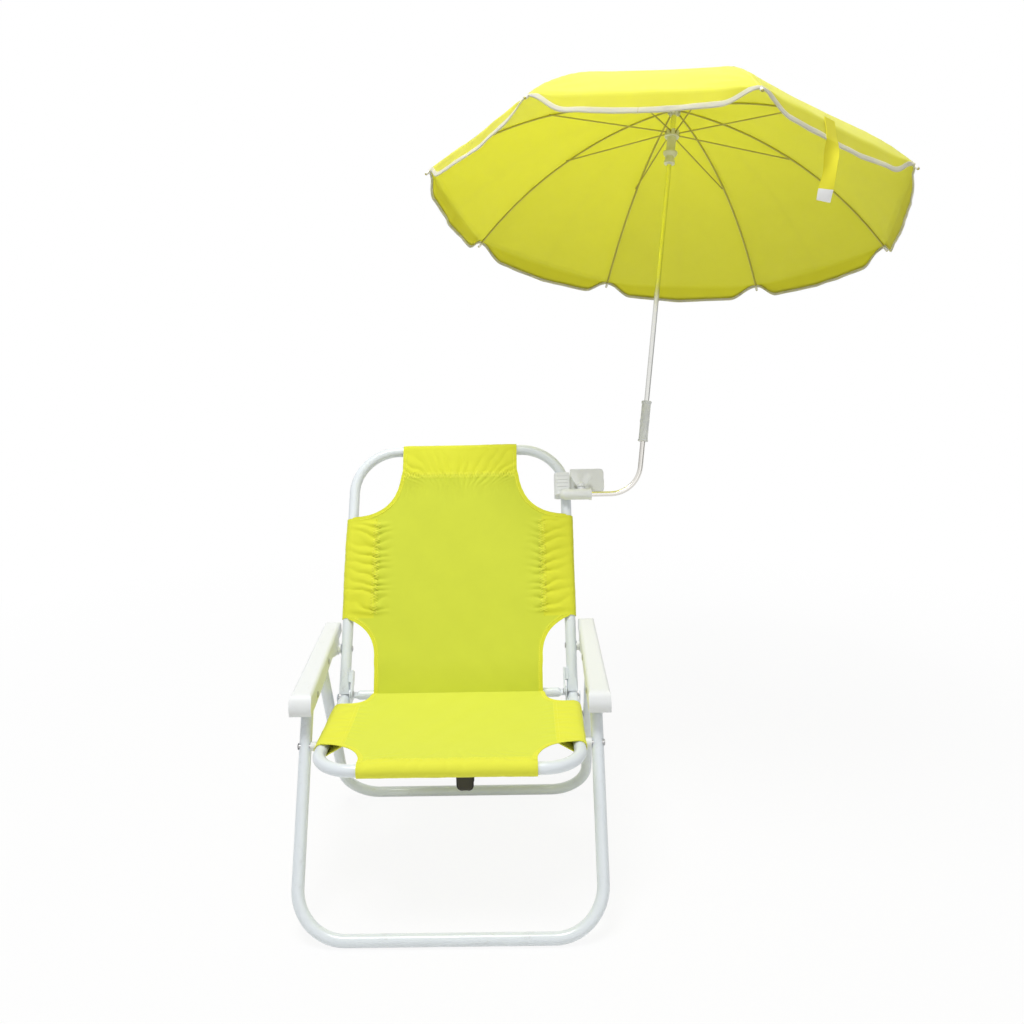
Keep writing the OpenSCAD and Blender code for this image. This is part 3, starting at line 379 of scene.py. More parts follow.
# %% One maker for the cloth finishes
def cloth_finish(name, colour, shade, threads=900.0, bump=0.00012, roughness=0.8, sheen=0.15,
                 thread_colour=None, rib_seam=False, through=0.0, doubled_or_shade_colour=None):
    material, tree, out = new_material(name)
    shader = tree.nodes.new("ShaderNodeBsdfPrincipled")
    feed(tree, shader, {"Sheen Weight": sheen, "Sheen Roughness": 0.4, "Specular IOR Level": 0.3})
    if through:
        feed(tree, shader, {"Subsurface Weight": through, "Subsurface Scale": 0.005,
                            "Subsurface Radius": (1.0, 1.0, 0.35)})
    flat_map = tree.nodes.new("ShaderNodeUVMap")
    flat_map.uv_map = "cloth"
    where = flat_map.outputs["UV"]
    yarns = use_group(tree, weave, {"Threads": threads, "Vector": where})
    colour_out = colour_mix(tree, yarns["Shade"], shade, colour)
    height_out = yarns["Height"]
    # On the canopy the doubled attribute marks the valance, and the colour mixed in there is
    # painted shade.
    if doubled_or_shade_colour:
        layers = tree.nodes.new("ShaderNodeAttribute")
        layers.attribute_name = "doubled"
        colour_out = colour_mix(tree, layers.outputs["Fac"], colour_out, doubled_or_shade_colour)
    if rib_seam:
        across, along, _ = split_vector(tree, where)
        line = use_group(tree, sewn, {"Distance": across, "Along": along})["Mask"]
        colour_out = colour_mix(tree, line, colour_out, thread_colour)
        height_out = math_node(tree, "ADD", height_out, math_node(tree, "MULTIPLY", line, 2.0))
    rough = math_chain(tree, yarns["Shade"], ("MULTIPLY", 0.16), ("ADD", roughness - 0.08, True))
    feed(tree, shader, {"Base Color": colour_out, "Roughness": rough})
    add_bump(tree, shader, height_out, bump, 0.7)
    tree.links.new(shader.outputs[0], out.inputs["Surface"])
    return material


# %% The cloth finishes
# Where a sling is doubled, at its hems and sleeves, its yellow looks warmer. The hanging edge
# of the canopy is painted darker, as painted shade. An attribute called doubled says where
# both are.
# The back and seat slings are one yellow cloth in two copies: the back's is darker as painted shade
# and the seat's brighter as painted light, since the seat faces the light from above.
back_cloth_painted_shade = cloth_finish("back_cloth_painted_shade", (0.65, 0.71, 0.055), (0.60, 0.66, 0.046),
                           doubled_or_shade_colour=(0.71, 0.73, 0.040))
seat_cloth_painted_light = cloth_finish("seat_cloth", (0.73, 0.78, 0.074), (0.69, 0.74, 0.064),
                                 doubled_or_shade_colour=(0.78, 0.79, 0.060))
tie_cloth = cloth_finish("tie_cloth", (0.78, 0.73, 0.035), (0.70, 0.64, 0.030))
canopy_cloth = cloth_finish("canopy_cloth", (0.74, 0.72, 0.078), (0.70, 0.68, 0.066),
                            thread_colour=(0.86, 0.84, 0.26), rib_seam=True, through=0.8,
                            doubled_or_shade_colour=(0.62, 0.585, 0.042))
binding_tape = cloth_finish("binding_tape", (0.86, 0.83, 0.52), (0.82, 0.78, 0.42),
                            threads=700.0, through=0.6)
black_webbing = cloth_finish("black_webbing", (0.075, 0.070, 0.058), (0.050, 0.047, 0.038),
                             threads=420.0, bump=0.0005, roughness=0.7)
black_piping = cloth_finish("black_piping", (0.012, 0.012, 0.011), (0.008, 0.008, 0.008),
                            threads=1200.0, bump=0.0001, roughness=0.6)
white_patch = cloth_finish("white_patch", (0.84, 0.84, 0.83), (0.78, 0.78, 0.77),
                           threads=500.0, bump=0.0004)
sewing_thread = cloth_finish("sewing_thread", (0.88, 0.89, 0.10), (0.82, 0.83, 0.08),
                             threads=2500.0, bump=0.00005)
print("cloth finishes:", [m.name for m in bpy.data.materials if "cloth" in m.name])

# %% [markdown]
# ## How a sheet of cloth is made
#
# Every sheet starts as a flat grid. Each of its points is moved to where the cloth is worn,
# and its place on the flat cloth goes into the UV map. Several grids welded along their
# edges make one sheet, for example a panel and the sleeve that runs on round a tube. A
# Solidify modifier gives the cloth its thickness, half to each side.

# %% Sheets from grids
def add_grid(bm, uv_layer, columns, rows, place):
    """Adds a grid of cloth. place(u, v) takes -1..1 both ways and gives the point, its place
    on the flat cloth and, where it matters, how far the cloth is doubled; on the canopy that
    value marks the valance, which is painted darker as painted shade."""
    layers = bm.verts.layers.float.get("doubled") or bm.verts.layers.float.new("doubled")
    made = bmesh.ops.create_grid(bm, x_segments=columns, y_segments=rows, size=1)
    faces = {face for vert in made["verts"] for face in vert.link_faces}
    flat = {}
    for vert in made["verts"]:
        point, flat[vert], *doubled = place(vert.co.x, vert.co.y)
        vert.co = point
        vert[layers] = doubled[0] if doubled else 0.0
    for face in faces:
        for loop in face.loops:
            loop[uv_layer].uv = flat[loop.vert]
    return made["verts"]


def finish_sheet(name, bm, material, thickness, outward):
    """Welds, turns the faces towards outward, and makes the object. Gives its flat area too."""
    bmesh.ops.remove_doubles(bm, verts=bm.verts, dist=0.00002)
    bmesh.ops.recalc_face_normals(bm, faces=bm.faces)
    bm.normal_update()
    facing = sum((face.normal * face.calc_area() for face in bm.faces), Vector())
    if facing.dot(Vector(outward)) < 0:
        bmesh.ops.reverse_faces(bm, faces=bm.faces)
    area = sum(face.calc_area() for face in bm.faces)
    for face in bm.faces:
        face.smooth = True
    for edge in bm.edges:
        edge.smooth = not edge.is_boundary
    thing = add_mesh(name, bm, material)
    solid = thing.modifiers.new("thickness", "SOLIDIFY")
    solid.thickness = thickness
    solid.offset = 0
    solid.use_rim = True
    print(f"{name}: {len(thing.data.polygons)} faces, {area:.4f} m2 of cloth")
    return thing, area


def cloth_piece(name, columns, rows, place, material, thickness, outward=(0, 0, 0)):
    """A sheet that is one grid. Gives the object and its flat area."""
    bm = bmesh.new()
    layer = bm.loops.layers.uv.new("cloth")
    add_grid(bm, layer, columns, rows, place)
    return finish_sheet(name, bm, material, thickness, outward)


# %% Threads that can be seen
# A line of stitches is one thread that comes up through the cloth, lies on it for a stitch
# and goes down again. It is a thin tube along a line of points, made a mesh.
def thread(name, runs, radius=0.00028):
    """One object of thin tubes. runs is a list of lists of points in metres."""
    data = bpy.data.curves.new(name, "CURVE")
    data.dimensions = "3D"
    data.bevel_depth = radius
    data.bevel_resolution = 1
    data.use_fill_caps = True
    for run in runs:
        spline = data.splines.new("POLY")
        spline.points.add(len(run) - 1)
        for point, place in zip(spline.points, run):
            point.co = (*place, 1)
    drawn = add_object(name + "_line", data)
    bpy.context.view_layer.update()
    solved = drawn.evaluated_get(bpy.context.evaluated_depsgraph_get())
    mesh = bpy.data.meshes.new_from_object(solved)
    bpy.data.objects.remove(drawn)
    bpy.data.curves.remove(data)
    bm = bmesh.new()
    bm.from_mesh(mesh)
    layer = bm.loops.layers.uv.get("cloth") or bm.loops.layers.uv.new("cloth")
    for face in bm.faces:
        face.smooth = True
        for loop in face.loops:
            loop[layer].uv = (loop.vert.co.x + loop.vert.co.y, loop.vert.co.z)
    bmesh.ops.recalc_face_normals(bm, faces=bm.faces)
    bm.to_mesh(mesh)
    bm.free()
    mesh.name = name
    mesh.materials.clear()
    mesh.materials.append(sewing_thread)
    thing = add_object(name, mesh)
    print(f"{name}: {len(runs)} runs, {len(mesh.polygons)} faces")
    return thing


# %% [markdown]
# ## The two slings
#
# The back and the seat are made alike. A sheet lies on the front of the tubes, with arches
# cut between its tabs. Each tab runs round its tube, returns behind and is sewn to the
# sheet, and so does the end at the bar. The same code makes both, from their outlines and
# from a function that puts a point of the flat sling into the chair.

# %% Where the slings lie
HINGE = Vector((0, 0.266, 0.214))
SEAT_AXIS = Vector((0, 0.266, 0.2046))
BACK_LEAN = math.radians(33.8)
SEAT_TILT = math.radians(1.45)
TUBE_X = 166
WRAP_R = 8.8
BACK_FACE = -4.8
CLOTH_THICKNESS = 0.001


def on_back(x, w, b):
    """x sideways, w up the back, b behind the middle of the cloth, all in millimetres."""
    y = BACK_FACE + b
    return HINGE + MM * Vector((x, y * math.cos(BACK_LEAN) + w * math.sin(BACK_LEAN),
                                w * math.cos(BACK_LEAN) - y * math.sin(BACK_LEAN)))


def on_seat(x, w, b):
    """x sideways, w forward from the hinge, b below the middle of the cloth."""
    h = WRAP_R - b
    return SEAT_AXIS + MM * Vector((x, h * math.sin(SEAT_TILT) - w * math.cos(SEAT_TILT),
                                    h * math.cos(SEAT_TILT) + w * math.sin(SEAT_TILT)))


# %% Outlines of the slings
def arch(a, b, bulge, steps=10):
    """Points of a hollow arch from a to b, as the cut-outs of the slings have."""
    (ax, aw), (bx, bw) = a, b
    points = []
    for i in range(steps + 1):
        t = i / steps
        lift = bulge * 2 * t * (1 - t)
        points.append((ax + (bx - ax) * t - (bw - aw) * lift,
                       aw + (bw - aw) * t + (bx - ax) * lift))
    return points


def by_length(points, count):
    """count + 1 points spread evenly along a line of points."""
    line = np.array(points, float)
    gone = np.concatenate([[0], np.cumsum(np.linalg.norm(np.diff(line, axis=0), axis=1))])
    at = np.linspace(0, gone[-1], count + 1)
    return np.stack([np.interp(at, gone, line[:, 0]), np.interp(at, gone, line[:, 1])], axis=1)


WAIST_X = 123
BACK_TAB, BACK_BAR_X, BACK_BAR_W = (112, 270), 90, 386
SEAT_TAB, SEAT_BAR_X, SEAT_BAR_W = (36, 164), 111, 219
BACK_LOW = ([(WAIST_X, 0.5), (WAIST_X, 34)] + arch((124, 46), (164, 110), 0.36)
            + [(TUBE_X, BACK_TAB[0])])
BACK_HIGH = ([(TUBE_X, BACK_TAB[1])] + arch((164, 272), (92, 340), 0.42)
             + [(BACK_BAR_X, 348), (BACK_BAR_X, BACK_BAR_W)])
SEAT_LOW = [(WAIST_X, -0.9)] + arch((126, 4), (157, 36), 0.48) + [(TUBE_X, SEAT_TAB[0])]
SEAT_HIGH = ([(TUBE_X, SEAT_TAB[1])] + arch((158, 165), (113, 199), 0.37)
             + [(SEAT_BAR_X, 207), (SEAT_BAR_X, SEAT_BAR_W)])


# %% A sleeve's path round its tube
# The cloth leaves the sheet where it touches the tube, goes round and comes straight back
# to the sewn line. out is away from the sheet's edge, b behind it.
def wrap_path(reach, steps_round=14, steps_back=10):
    end = (-reach, 1.15)
    far = math.hypot(reach, WRAP_R - end[1])
    slope = math.asin(WRAP_R / far) + math.atan2(WRAP_R - end[1], reach)
    path, walked = [], 0.0
    for i in range(steps_round + 1):
        turned = -math.pi / 2 + (math.pi + slope) * i / steps_round
        spot = (WRAP_R * math.cos(turned), WRAP_R + WRAP_R * math.sin(turned))
        path.append((spot, (math.cos(turned), math.sin(turned))))
    last, out_normal = path[-1]
    for i in range(1, steps_back + 1):
        t = i / steps_back
        spot = (last[0] + (end[0] - last[0]) * t, last[1] + (end[1] - last[1]) * t)
        path.append((spot, out_normal))
    lengths = [0.0]
    for (a, _), (b, _) in zip(path, path[1:]):
        lengths.append(lengths[-1] + math.dist(a, b))
    return path, lengths


def along_path(path, lengths, v):
    """The point, normal and length at v from -1 to 1 along the path."""
    want = (v + 1) / 2 * (len(path) - 1)
    i = min(int(want), len(path) - 2)
    t = want - i
    (a, na), (b, nb) = path[i], path[i + 1]
    mixed = Vector((na[0] + (nb[0] - na[0]) * t, na[1] + (nb[1] - na[1]) * t)).normalized()
    return (a[0] + (b[0] - a[0]) * t, a[1] + (b[1] - a[1]) * t), mixed, \
        lengths[i] + (lengths[i + 1] - lengths[i]) * t


# %% Folds of the cloth
def smooth(t):
    t = min(max(t, 0.0), 1.0)
    return t * t * (3 - 2 * t)


def soft_noise(x, w, size, seed):
    return noise.noise(Vector((x / size, w / size, seed)))


def edge_distance(x, w, line):
    """How far a point is from the cut edge, in millimetres. line is right-hand points."""
    p = np.array([abs(x), w])
    a, b = line[:-1], line[1:]
    step = b - a
    t = np.clip(((p - a) * step).sum(1) / np.maximum((step * step).sum(1), 1e-9), 0, 1)
    return float(np.linalg.norm(a + step * t[:, None] - p, axis=1).min())


# %% Making a sling
ZIGZAG_BEAT, ZIGZAG_HALF, LUMP_HEIGHT, LUMP_REACH = 8.4, 5.2, 0.6, 5.5


def ridges(phase, sharp=0.8):
    """Rounded ridges with narrow valleys between them, from 0 to 1."""
    return abs(math.sin(math.pi * phase)) ** sharp


class Sling:
    """The outline, sleeves and folds of one sling, in millimetres on its flat sheet."""

    def __init__(self, put, low, high, bar_w, sew_x, sew_w, sag, tab_folds, bar_folds, seed,
                 crease=0.0):
        self.put, self.bar_w, self.sew_x, self.sew_w = put, bar_w, sew_x, sew_w
        self.low, self.high, self.sag, self.seed = low, high, sag, seed
        self.tab_folds, self.bar_folds, self.crease = tab_folds, bar_folds, crease
        self.tab_from, self.tab_to = low[-1][1], high[0][1]
        self.cut_low = by_length(low, 40)
        self.cut_high = by_length(high, 40)

    def hem(self, x, w):
        """0 inside the sheet, 1 on the doubled cloth along the arches."""
        near = min(edge_distance(x, w, self.cut_low[:-2]), edge_distance(x, w, self.cut_high[2:]))
        return 1 - smooth((near - 5.5) / 1.6)

    def doubled(self, x, w):
        """1 where there are two layers: hems, tabs and the sleeve at the bar."""
        tab = smooth((abs(x) - self.sew_x) / 1.5) * (self.tab_from <= w <= self.tab_to)
        return max(self.hem(x, w), tab, smooth((w - self.sew_w) / 1.5))

    def folds(self, x, w):
        """How far the cloth stands out of its plane, towards the sitter."""
        out = 0.8 * soft_noise(x, w, 75, self.seed) + 0.3 * soft_noise(x, w, 28, self.seed + 7)
        slant, down = 0.86 * x + 0.5 * w, 0.5 * x - 0.86 * w
        out += 0.9 * noise.noise(Vector((slant / 24, down / 150, self.seed + 3)))
        height, pitch, sharp = self.tab_folds
        reach, side = abs(x) - self.sew_x, math.copysign(1, x)
        tab = smooth((w - self.tab_from - 2) / 10) * smooth((self.tab_to - 2 - w) / 10)
        if reach > 0:
            rise, wide, step = 0.25, 34.0, pitch
        else:
            rise, wide, step = 0.35 * (w - self.tab_from) / 158, 16.0, pitch * 0.72
        wander = 0.9 * soft_noise(0, w, 34, 3.0 + side) + 0.35 * soft_noise(x, w, 20, 9.0)
        phase = (w - rise * abs(reach)) / step + wander
        out += height * tab * math.exp(-(reach / wide) ** 2) * ridges(phase, sharp)
        if height > 1:
            out += tab * self.lumps(w, reach)
        height, pitch, sharp = self.bar_folds
        rise = w - self.sew_w
        wide = 26.0 if rise < 0 else 42.0
        wander = 0.9 * soft_noise(x, 0, 40, 5.0) + 0.3 * soft_noise(x, w, 22, 4.0)
        phase = x / (1 + 0.018 * max(rise, -20)) / pitch + wander
        near = math.exp(-(rise / wide) ** 2) * (0.65 + 0.7 * soft_noise(x, 0, 31, 8.0))
        out += height * near * ridges(phase, sharp)
        if height > 1:
            out += self.lumps(x, rise)
        return out

    def lumps(self, along, off):
        """The small lumps between the stitches of a zigzag seam. off is across the seam."""
        cell = math.sin(2 * math.pi * along / ZIGZAG_BEAT) * math.sin(math.pi * off / ZIGZAG_HALF)
        return LUMP_HEIGHT * math.exp(-(off / LUMP_REACH) ** 2) * cell

    def surface(self, x, w):
        """Depth of the middle of the cloth behind the plane of the tubes' fronts."""
        hang = self.sag * (1 - (x / TUBE_X) ** 2) * math.sin(math.pi * max(w, 0) / self.bar_w)
        calm = smooth((TUBE_X - 2 - abs(x)) / 30) * smooth((self.bar_w - w) / 25)
        rough = self.folds(x, w) * smooth((w + 1) / 16)
        on_tube = max(rough, 0.0)
        back = self.crease * min(max((44 - w) / 43.5, 0.0), 1.0) ** 1.5
        return hang * calm - (rough * calm + on_tube * (1 - calm)) - 0.45 * self.hem(x, w) + back

    def at(self, x, w, lift=0.0):
        return self.put(x, w, self.surface(x, w) - lift)


def sling_sheet(name, sling, rows, columns, material, outward):
    """The whole sling as one sheet: panel, two side sleeves and the sleeve at the bar."""
    low, tab, high = rows
    edge_low = by_length(sling.low, low)
    edge_tab = by_length([sling.low[-1], sling.high[0]], tab)
    edge_high = by_length(sling.high, high)
    edge = np.concatenate([edge_low, edge_tab[1:], edge_high[1:]])
    total = len(edge) - 1
    middle = np.interp(np.arange(total + 1), [0, low, low + tab, total],
                       [edge[0][1], edge_tab[0][1] + 2, edge_tab[-1][1] - 2, edge[-1][1]])
    bm = bmesh.new()
    layer = bm.loops.layers.uv.new("cloth")

    def row_point(u, row):
        x = u * edge[row][0]
        w = middle[row] + (edge[row][1] - middle[row]) * u * u
        return x, w

    def panel(u, v):
        x, w = row_point(u, round((v + 1) / 2 * total))
        return sling.at(x, w), (MM * x, MM * w), sling.doubled(x, w)

    add_grid(bm, layer, columns, total, panel)
    path, lengths = wrap_path(TUBE_X - sling.sew_x)
    for side in (-1, 1):
        def tab_sleeve(u, v, side=side):
            w = edge_tab[round((v + 1) / 2 * tab)][1]
            (out, b), normal, walked = along_path(path, lengths, u)
            ends = 1 - walked / lengths[-1]
            stand = max(sling.folds(side * (TUBE_X + walked), w), 0.0) * ends
            x = TUBE_X + out + normal.x * stand
            return sling.put(side * x, w, b + normal.y * stand), \
                (MM * side * (TUBE_X + walked), MM * w), 1.0
        add_grid(bm, layer, len(path) - 1, tab, tab_sleeve)
    path_bar, lengths_bar = wrap_path(sling.bar_w - sling.sew_w)
    half = edge[-1][0]

    def bar_sleeve(u, v):
        x = u * half
        (out, b), normal, walked = along_path(path_bar, lengths_bar, v)
        ends = 1 - walked / lengths_bar[-1]
        stand = max(sling.folds(x, sling.bar_w + walked), 0.0) * ends
        w = sling.bar_w + out + normal.x * stand
        return sling.put(x, w, b + normal.y * stand), (MM * x, MM * (sling.bar_w + walked)), 1.0

    add_grid(bm, layer, columns, len(path_bar) - 1, bar_sleeve)
    thing, area = finish_sheet(name, bm, material, CLOTH_THICKNESS, outward)
    size = (2 * MM * (TUBE_X + lengths[-1]), MM * (sling.bar_w + 2 + lengths_bar[-1]))
    return thing, area, size


# %% Stitches of a sling
THREAD_UP, HEM_SEAM = 0.62, 5.2


def running_stitch(sling, line, stitch=3.2):
    """Points of a thread along a line of (x, w): on the cloth, then under it, in turn."""
    length = np.linalg.norm(np.diff(line, axis=0), axis=1).sum()
    spots = by_length(line, max(2, round(length / stitch)))
    run = []
    for (ax, aw), (bx, bw) in zip(spots, spots[1:]):
        for t, lift in ((0.04, 0.0), (0.14, THREAD_UP), (0.76, THREAD_UP), (0.86, 0.0)):
            run.append(sling.at(ax + (bx - ax) * t, aw + (bw - aw) * t, lift))
    return run


def zigzag_stitch(sling, start, end, way=1, half=5.4, step=ZIGZAG_BEAT / 2):
    """A thread that crosses its line from side to side. way -1 starts on the other side."""
    (ax, aw), (bx, bw) = start, end
    length = math.hypot(bx - ax, bw - aw)
    count = round(length / step)
    nx, nw = -(bw - aw) / length, (bx - ax) / length
    run = []
    for i in range(4 * count + 1):
        t, swing = i / (4 * count), way * (abs(i / 4 % 2 - 1) * 2 - 1)
        run.append(sling.at(ax + (bx - ax) * t + nx * half * swing,
                            aw + (bw - aw) * t + nw * half * swing, THREAD_UP))
    return run


def inset_line(line, inset):
    """A line of points moved inwards from a right-hand cut edge."""
    step = np.gradient(line, axis=0)
    normal = np.stack([-step[:, 1], step[:, 0]], axis=1)
    normal /= np.maximum(np.linalg.norm(normal, axis=1), 1e-9)[:, None]
    return line + inset * normal


def both_sides(line):
    return [np.array(line, float), np.array(line, float) * np.array([-1, 1])]


def hem_seams(sling):
    """Threads along the doubled edges of the arches."""
    return [running_stitch(sling, line) for cut in (sling.cut_low[1:-3], sling.cut_high[3:-2])
            for line in both_sides(inset_line(cut, HEM_SEAM))]


# %% [markdown]
# ### Back sling
#
# The tabs are gathered by a zigzag seam, so fine pleats run out from it to both sides. The
# top hem is sewn the same way. The lower end curls back to meet the seat's cloth at the
# crease.

# %% Back sling
BACK_SEAM_X, BACK_SEAM_W = 127, 341
back = Sling(on_back, BACK_LOW, BACK_HIGH, BACK_BAR_W, BACK_SEAM_X, BACK_SEAM_W, sag=4.5,
             tab_folds=(3.9, 16, 0.8), bar_folds=(3.5, 12, 0.8), seed=1.7, crease=5.9)
back_cloth, area, size = sling_sheet(
    "back_sling_cloth", back, rows=(44, 92, 68), columns=140, material=back_cloth_painted_shade,
    outward=(0, -1, 0.5))
back_runs = []
for way in (-1, 1):
    for side in (-1, 1):
        ends = [(side * BACK_SEAM_X, BACK_TAB[0] + 6), (side * BACK_SEAM_X, BACK_TAB[1] - 6)]
        back_runs.append(zigzag_stitch(back, *ends, way))
    ends = [(side * (BACK_BAR_X - 4), BACK_SEAM_W) for side in (-1, 1)]
    back_runs.append(zigzag_stitch(back, *ends, way))
back_stitches = thread("back_sling_stitches", back_runs + hem_seams(back), radius=0.0005)
for piece in (back_cloth, back_stitches):
    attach(piece, "back")
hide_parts("back_sling")

# %% [markdown]
# ### Seat sling
#
# The seat is the same cut turned flat. Its tabs are sewn with two straight lines instead of
# a gathered one, and its front hem goes round the front bar.

# %% Seat sling
SEAT_SEAM_X, SEAT_SEAM_W, SEAM_GAP = 136, 209, 4.5
seat = Sling(on_seat, SEAT_LOW, SEAT_HIGH, SEAT_BAR_W, SEAT_SEAM_X, SEAT_SEAM_W, sag=5.0,
             tab_folds=(0.9, 15, 0.6), bar_folds=(1.9, 24, 0.5), seed=6.1)
seat_cloth, area, size = sling_sheet(
    "seat_sling_cloth", seat, rows=(18, 60, 36), columns=140, material=seat_cloth_painted_light,
    outward=(0, 0, 1))
seat_runs = []
for seam_x in (SEAT_SEAM_X, SEAT_SEAM_X + SEAM_GAP):
    for line in both_sides([(seam_x, SEAT_TAB[0] + 4), (seam_x, SEAT_TAB[1] - 4)]):
        seat_runs.append(running_stitch(seat, line))
ends = [(side * (SEAT_BAR_X - 2), SEAT_SEAM_W) for side in (-1, 1)]
seat_runs.append(running_stitch(seat, np.array(ends, float)))
seat_stitches = thread("seat_sling_stitches", seat_runs + hem_seams(seat))
for piece in (seat_cloth, seat_stitches):
    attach(piece, "seat")
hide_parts("seat_sling")

# %% [markdown]
# ## Carry strap
#
# A dark loop of webbing hangs from the crossbar under the seat, with a rounded end and a
# black piping round it. It is one flat strap, so it is a narrow grid bent along a loop, made
# narrower towards its lower end.

# %% Carry strap
BAR = HINGE + MM * Vector((0, 14, -8))
STRAP_X, STRAP_W, STRAP_DROP, STRAP_R, STRAP_BOW = 5, 24, 147, 8.05, 3.0
STRAP_T, STRAP_ROWS = 0.0015, 150
loop_length = 2 * STRAP_DROP + 2 * math.pi * STRAP_R


def strap_half(walked):
    """Half the strap's width: full, and a half circle at the loop's lower end."""
    past = abs(walked - STRAP_DROP - math.pi * STRAP_R / 2)
    turned = min(past / STRAP_R, math.pi / 2)
    rise = STRAP_R * (1 - math.cos(turned)) + max(past - math.pi * STRAP_R / 2, 0.0)
    half = STRAP_W / 2
    return max(math.sqrt(half ** 2 - max(half - rise, 0.0) ** 2), 3.0)


def strap_point(walked, side, lift=0.0):
    """A point of the loop. walked goes down the front, round the end, up and over the bar."""
    r = STRAP_R + lift
    walked = walked % loop_length
    half_round = math.pi * STRAP_R
    if walked < STRAP_DROP:
        y, z = -r, -walked
        y += STRAP_BOW * math.sin(math.pi * walked / STRAP_DROP) ** 2
    elif walked < STRAP_DROP + half_round:
        a = math.pi + (walked - STRAP_DROP) / STRAP_R
        y, z = r * math.cos(a), -STRAP_DROP + r * math.sin(a)
    elif walked < 2 * STRAP_DROP + half_round:
        up = walked - STRAP_DROP - half_round
        y, z = r - STRAP_BOW * math.sin(math.pi * up / STRAP_DROP) ** 2, -STRAP_DROP + up
    else:
        a = (walked - 2 * STRAP_DROP - half_round) / STRAP_R
        y, z = r * math.cos(a), r * math.sin(a)
    return BAR + MM * Vector((STRAP_X + side, y, z))


strap_cloth, area = cloth_piece("carry_strap_webbing", 10, STRAP_ROWS, lambda u, v: (
    strap_point((v + 1) / 2 * loop_length, u * strap_half((v + 1) / 2 * loop_length)),
    (MM * u * STRAP_W / 2, MM * (v + 1) / 2 * loop_length)), black_webbing, STRAP_T)
strap_runs = [[strap_point(down + wave, side, 1.0) for side, wave in
               zip(np.linspace(-10, 10, 21), [0.0, 0.9] * 10 + [0.0])] for down in (22, 27, 36, 41)]
strap_stitches = thread("carry_strap_stitches", strap_runs)
around = np.linspace(0, loop_length, STRAP_ROWS + 1)
strap_piping = thread("carry_strap_piping", [
    [strap_point(walked, side * strap_half(walked)) for walked in around] for side in (-1, 1)],
    radius=0.0011)
for piece in (strap_stitches, strap_piping):
    piece.data.materials[0] = black_piping
for piece in (strap_cloth, strap_stitches, strap_piping):
    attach(piece, "seat")
    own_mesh(piece)
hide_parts("carry_strap")

# %% [markdown]
# ## Canopy
#
# The canopy reads as one curved sheet, but it has to fold with its eight ribs. So it is cut
# down the middle of each gore, where nothing shows, into eight panels, one for each rib.
# Neighbours meet on the same line with the same slope, and the folds come from the place
# in the umbrella, so they run on across the cut. The seams of the real canopy lie on the
# ribs. A panel swings with its rib.

# %% The umbrella's own directions
SHAFT_FOOT = MM * Vector((277, 422.642, 471.358))
TILT, OUT = math.radians(17.9), math.radians(7)
shaft_turn = Matrix.Rotation(-TILT, 3, "X") @ Matrix.Rotation(OUT, 3, "Y")
RIBS, RIB_TURN = 8, math.radians(9)
HALF_GORE = math.pi / RIBS
PIVOT_R, RIB_BOW, NOTCH_H, CANOPY_R, CANOPY_RISE = 8, 560, 622, 374, 166
chord = math.hypot(CANOPY_R - PIVOT_R, CANOPY_RISE)
chord_angle = math.atan2(CANOPY_RISE, CANOPY_R - PIVOT_R)
half_bow = math.asin(chord / 2 / RIB_BOW)
RIB_START, RIB_END = chord_angle - half_bow, chord_angle + half_bow


def on_shaft(r, angle, h):
    return SHAFT_FOOT + shaft_turn @ (MM * Vector((r * math.cos(angle), r * math.sin(angle), h)))


def rib_angle(k):
    return RIB_TURN + (k - 1) * 2 * math.pi / RIBS


def rib_arc(a):
    return (PIVOT_R + RIB_BOW * (math.sin(a) - math.sin(RIB_START)),
            NOTCH_H - RIB_BOW * (math.cos(RIB_START) - math.cos(a)))


def rib_end(k):
    r, h = rib_arc(RIB_END)
    return on_shaft(r, rib_angle(k), h)


print("rib leaves the notch at", round(math.degrees(RIB_START), 2), "and ends at",
      round(math.degrees(RIB_END), 2), "degrees below level")

# %% Shape of the canopy
CLOTH_OFF = 2.4
VALANCE, SCALLOP = 24, 7
GORE_SAG = 3.0


def valance_depth(v):
    """Depth of the hanging edge: short at the rib tips, full between them."""
    full = VALANCE + SCALLOP * abs(v)
    return full * (0.14 + 0.86 * smooth(abs(v) / 0.34))


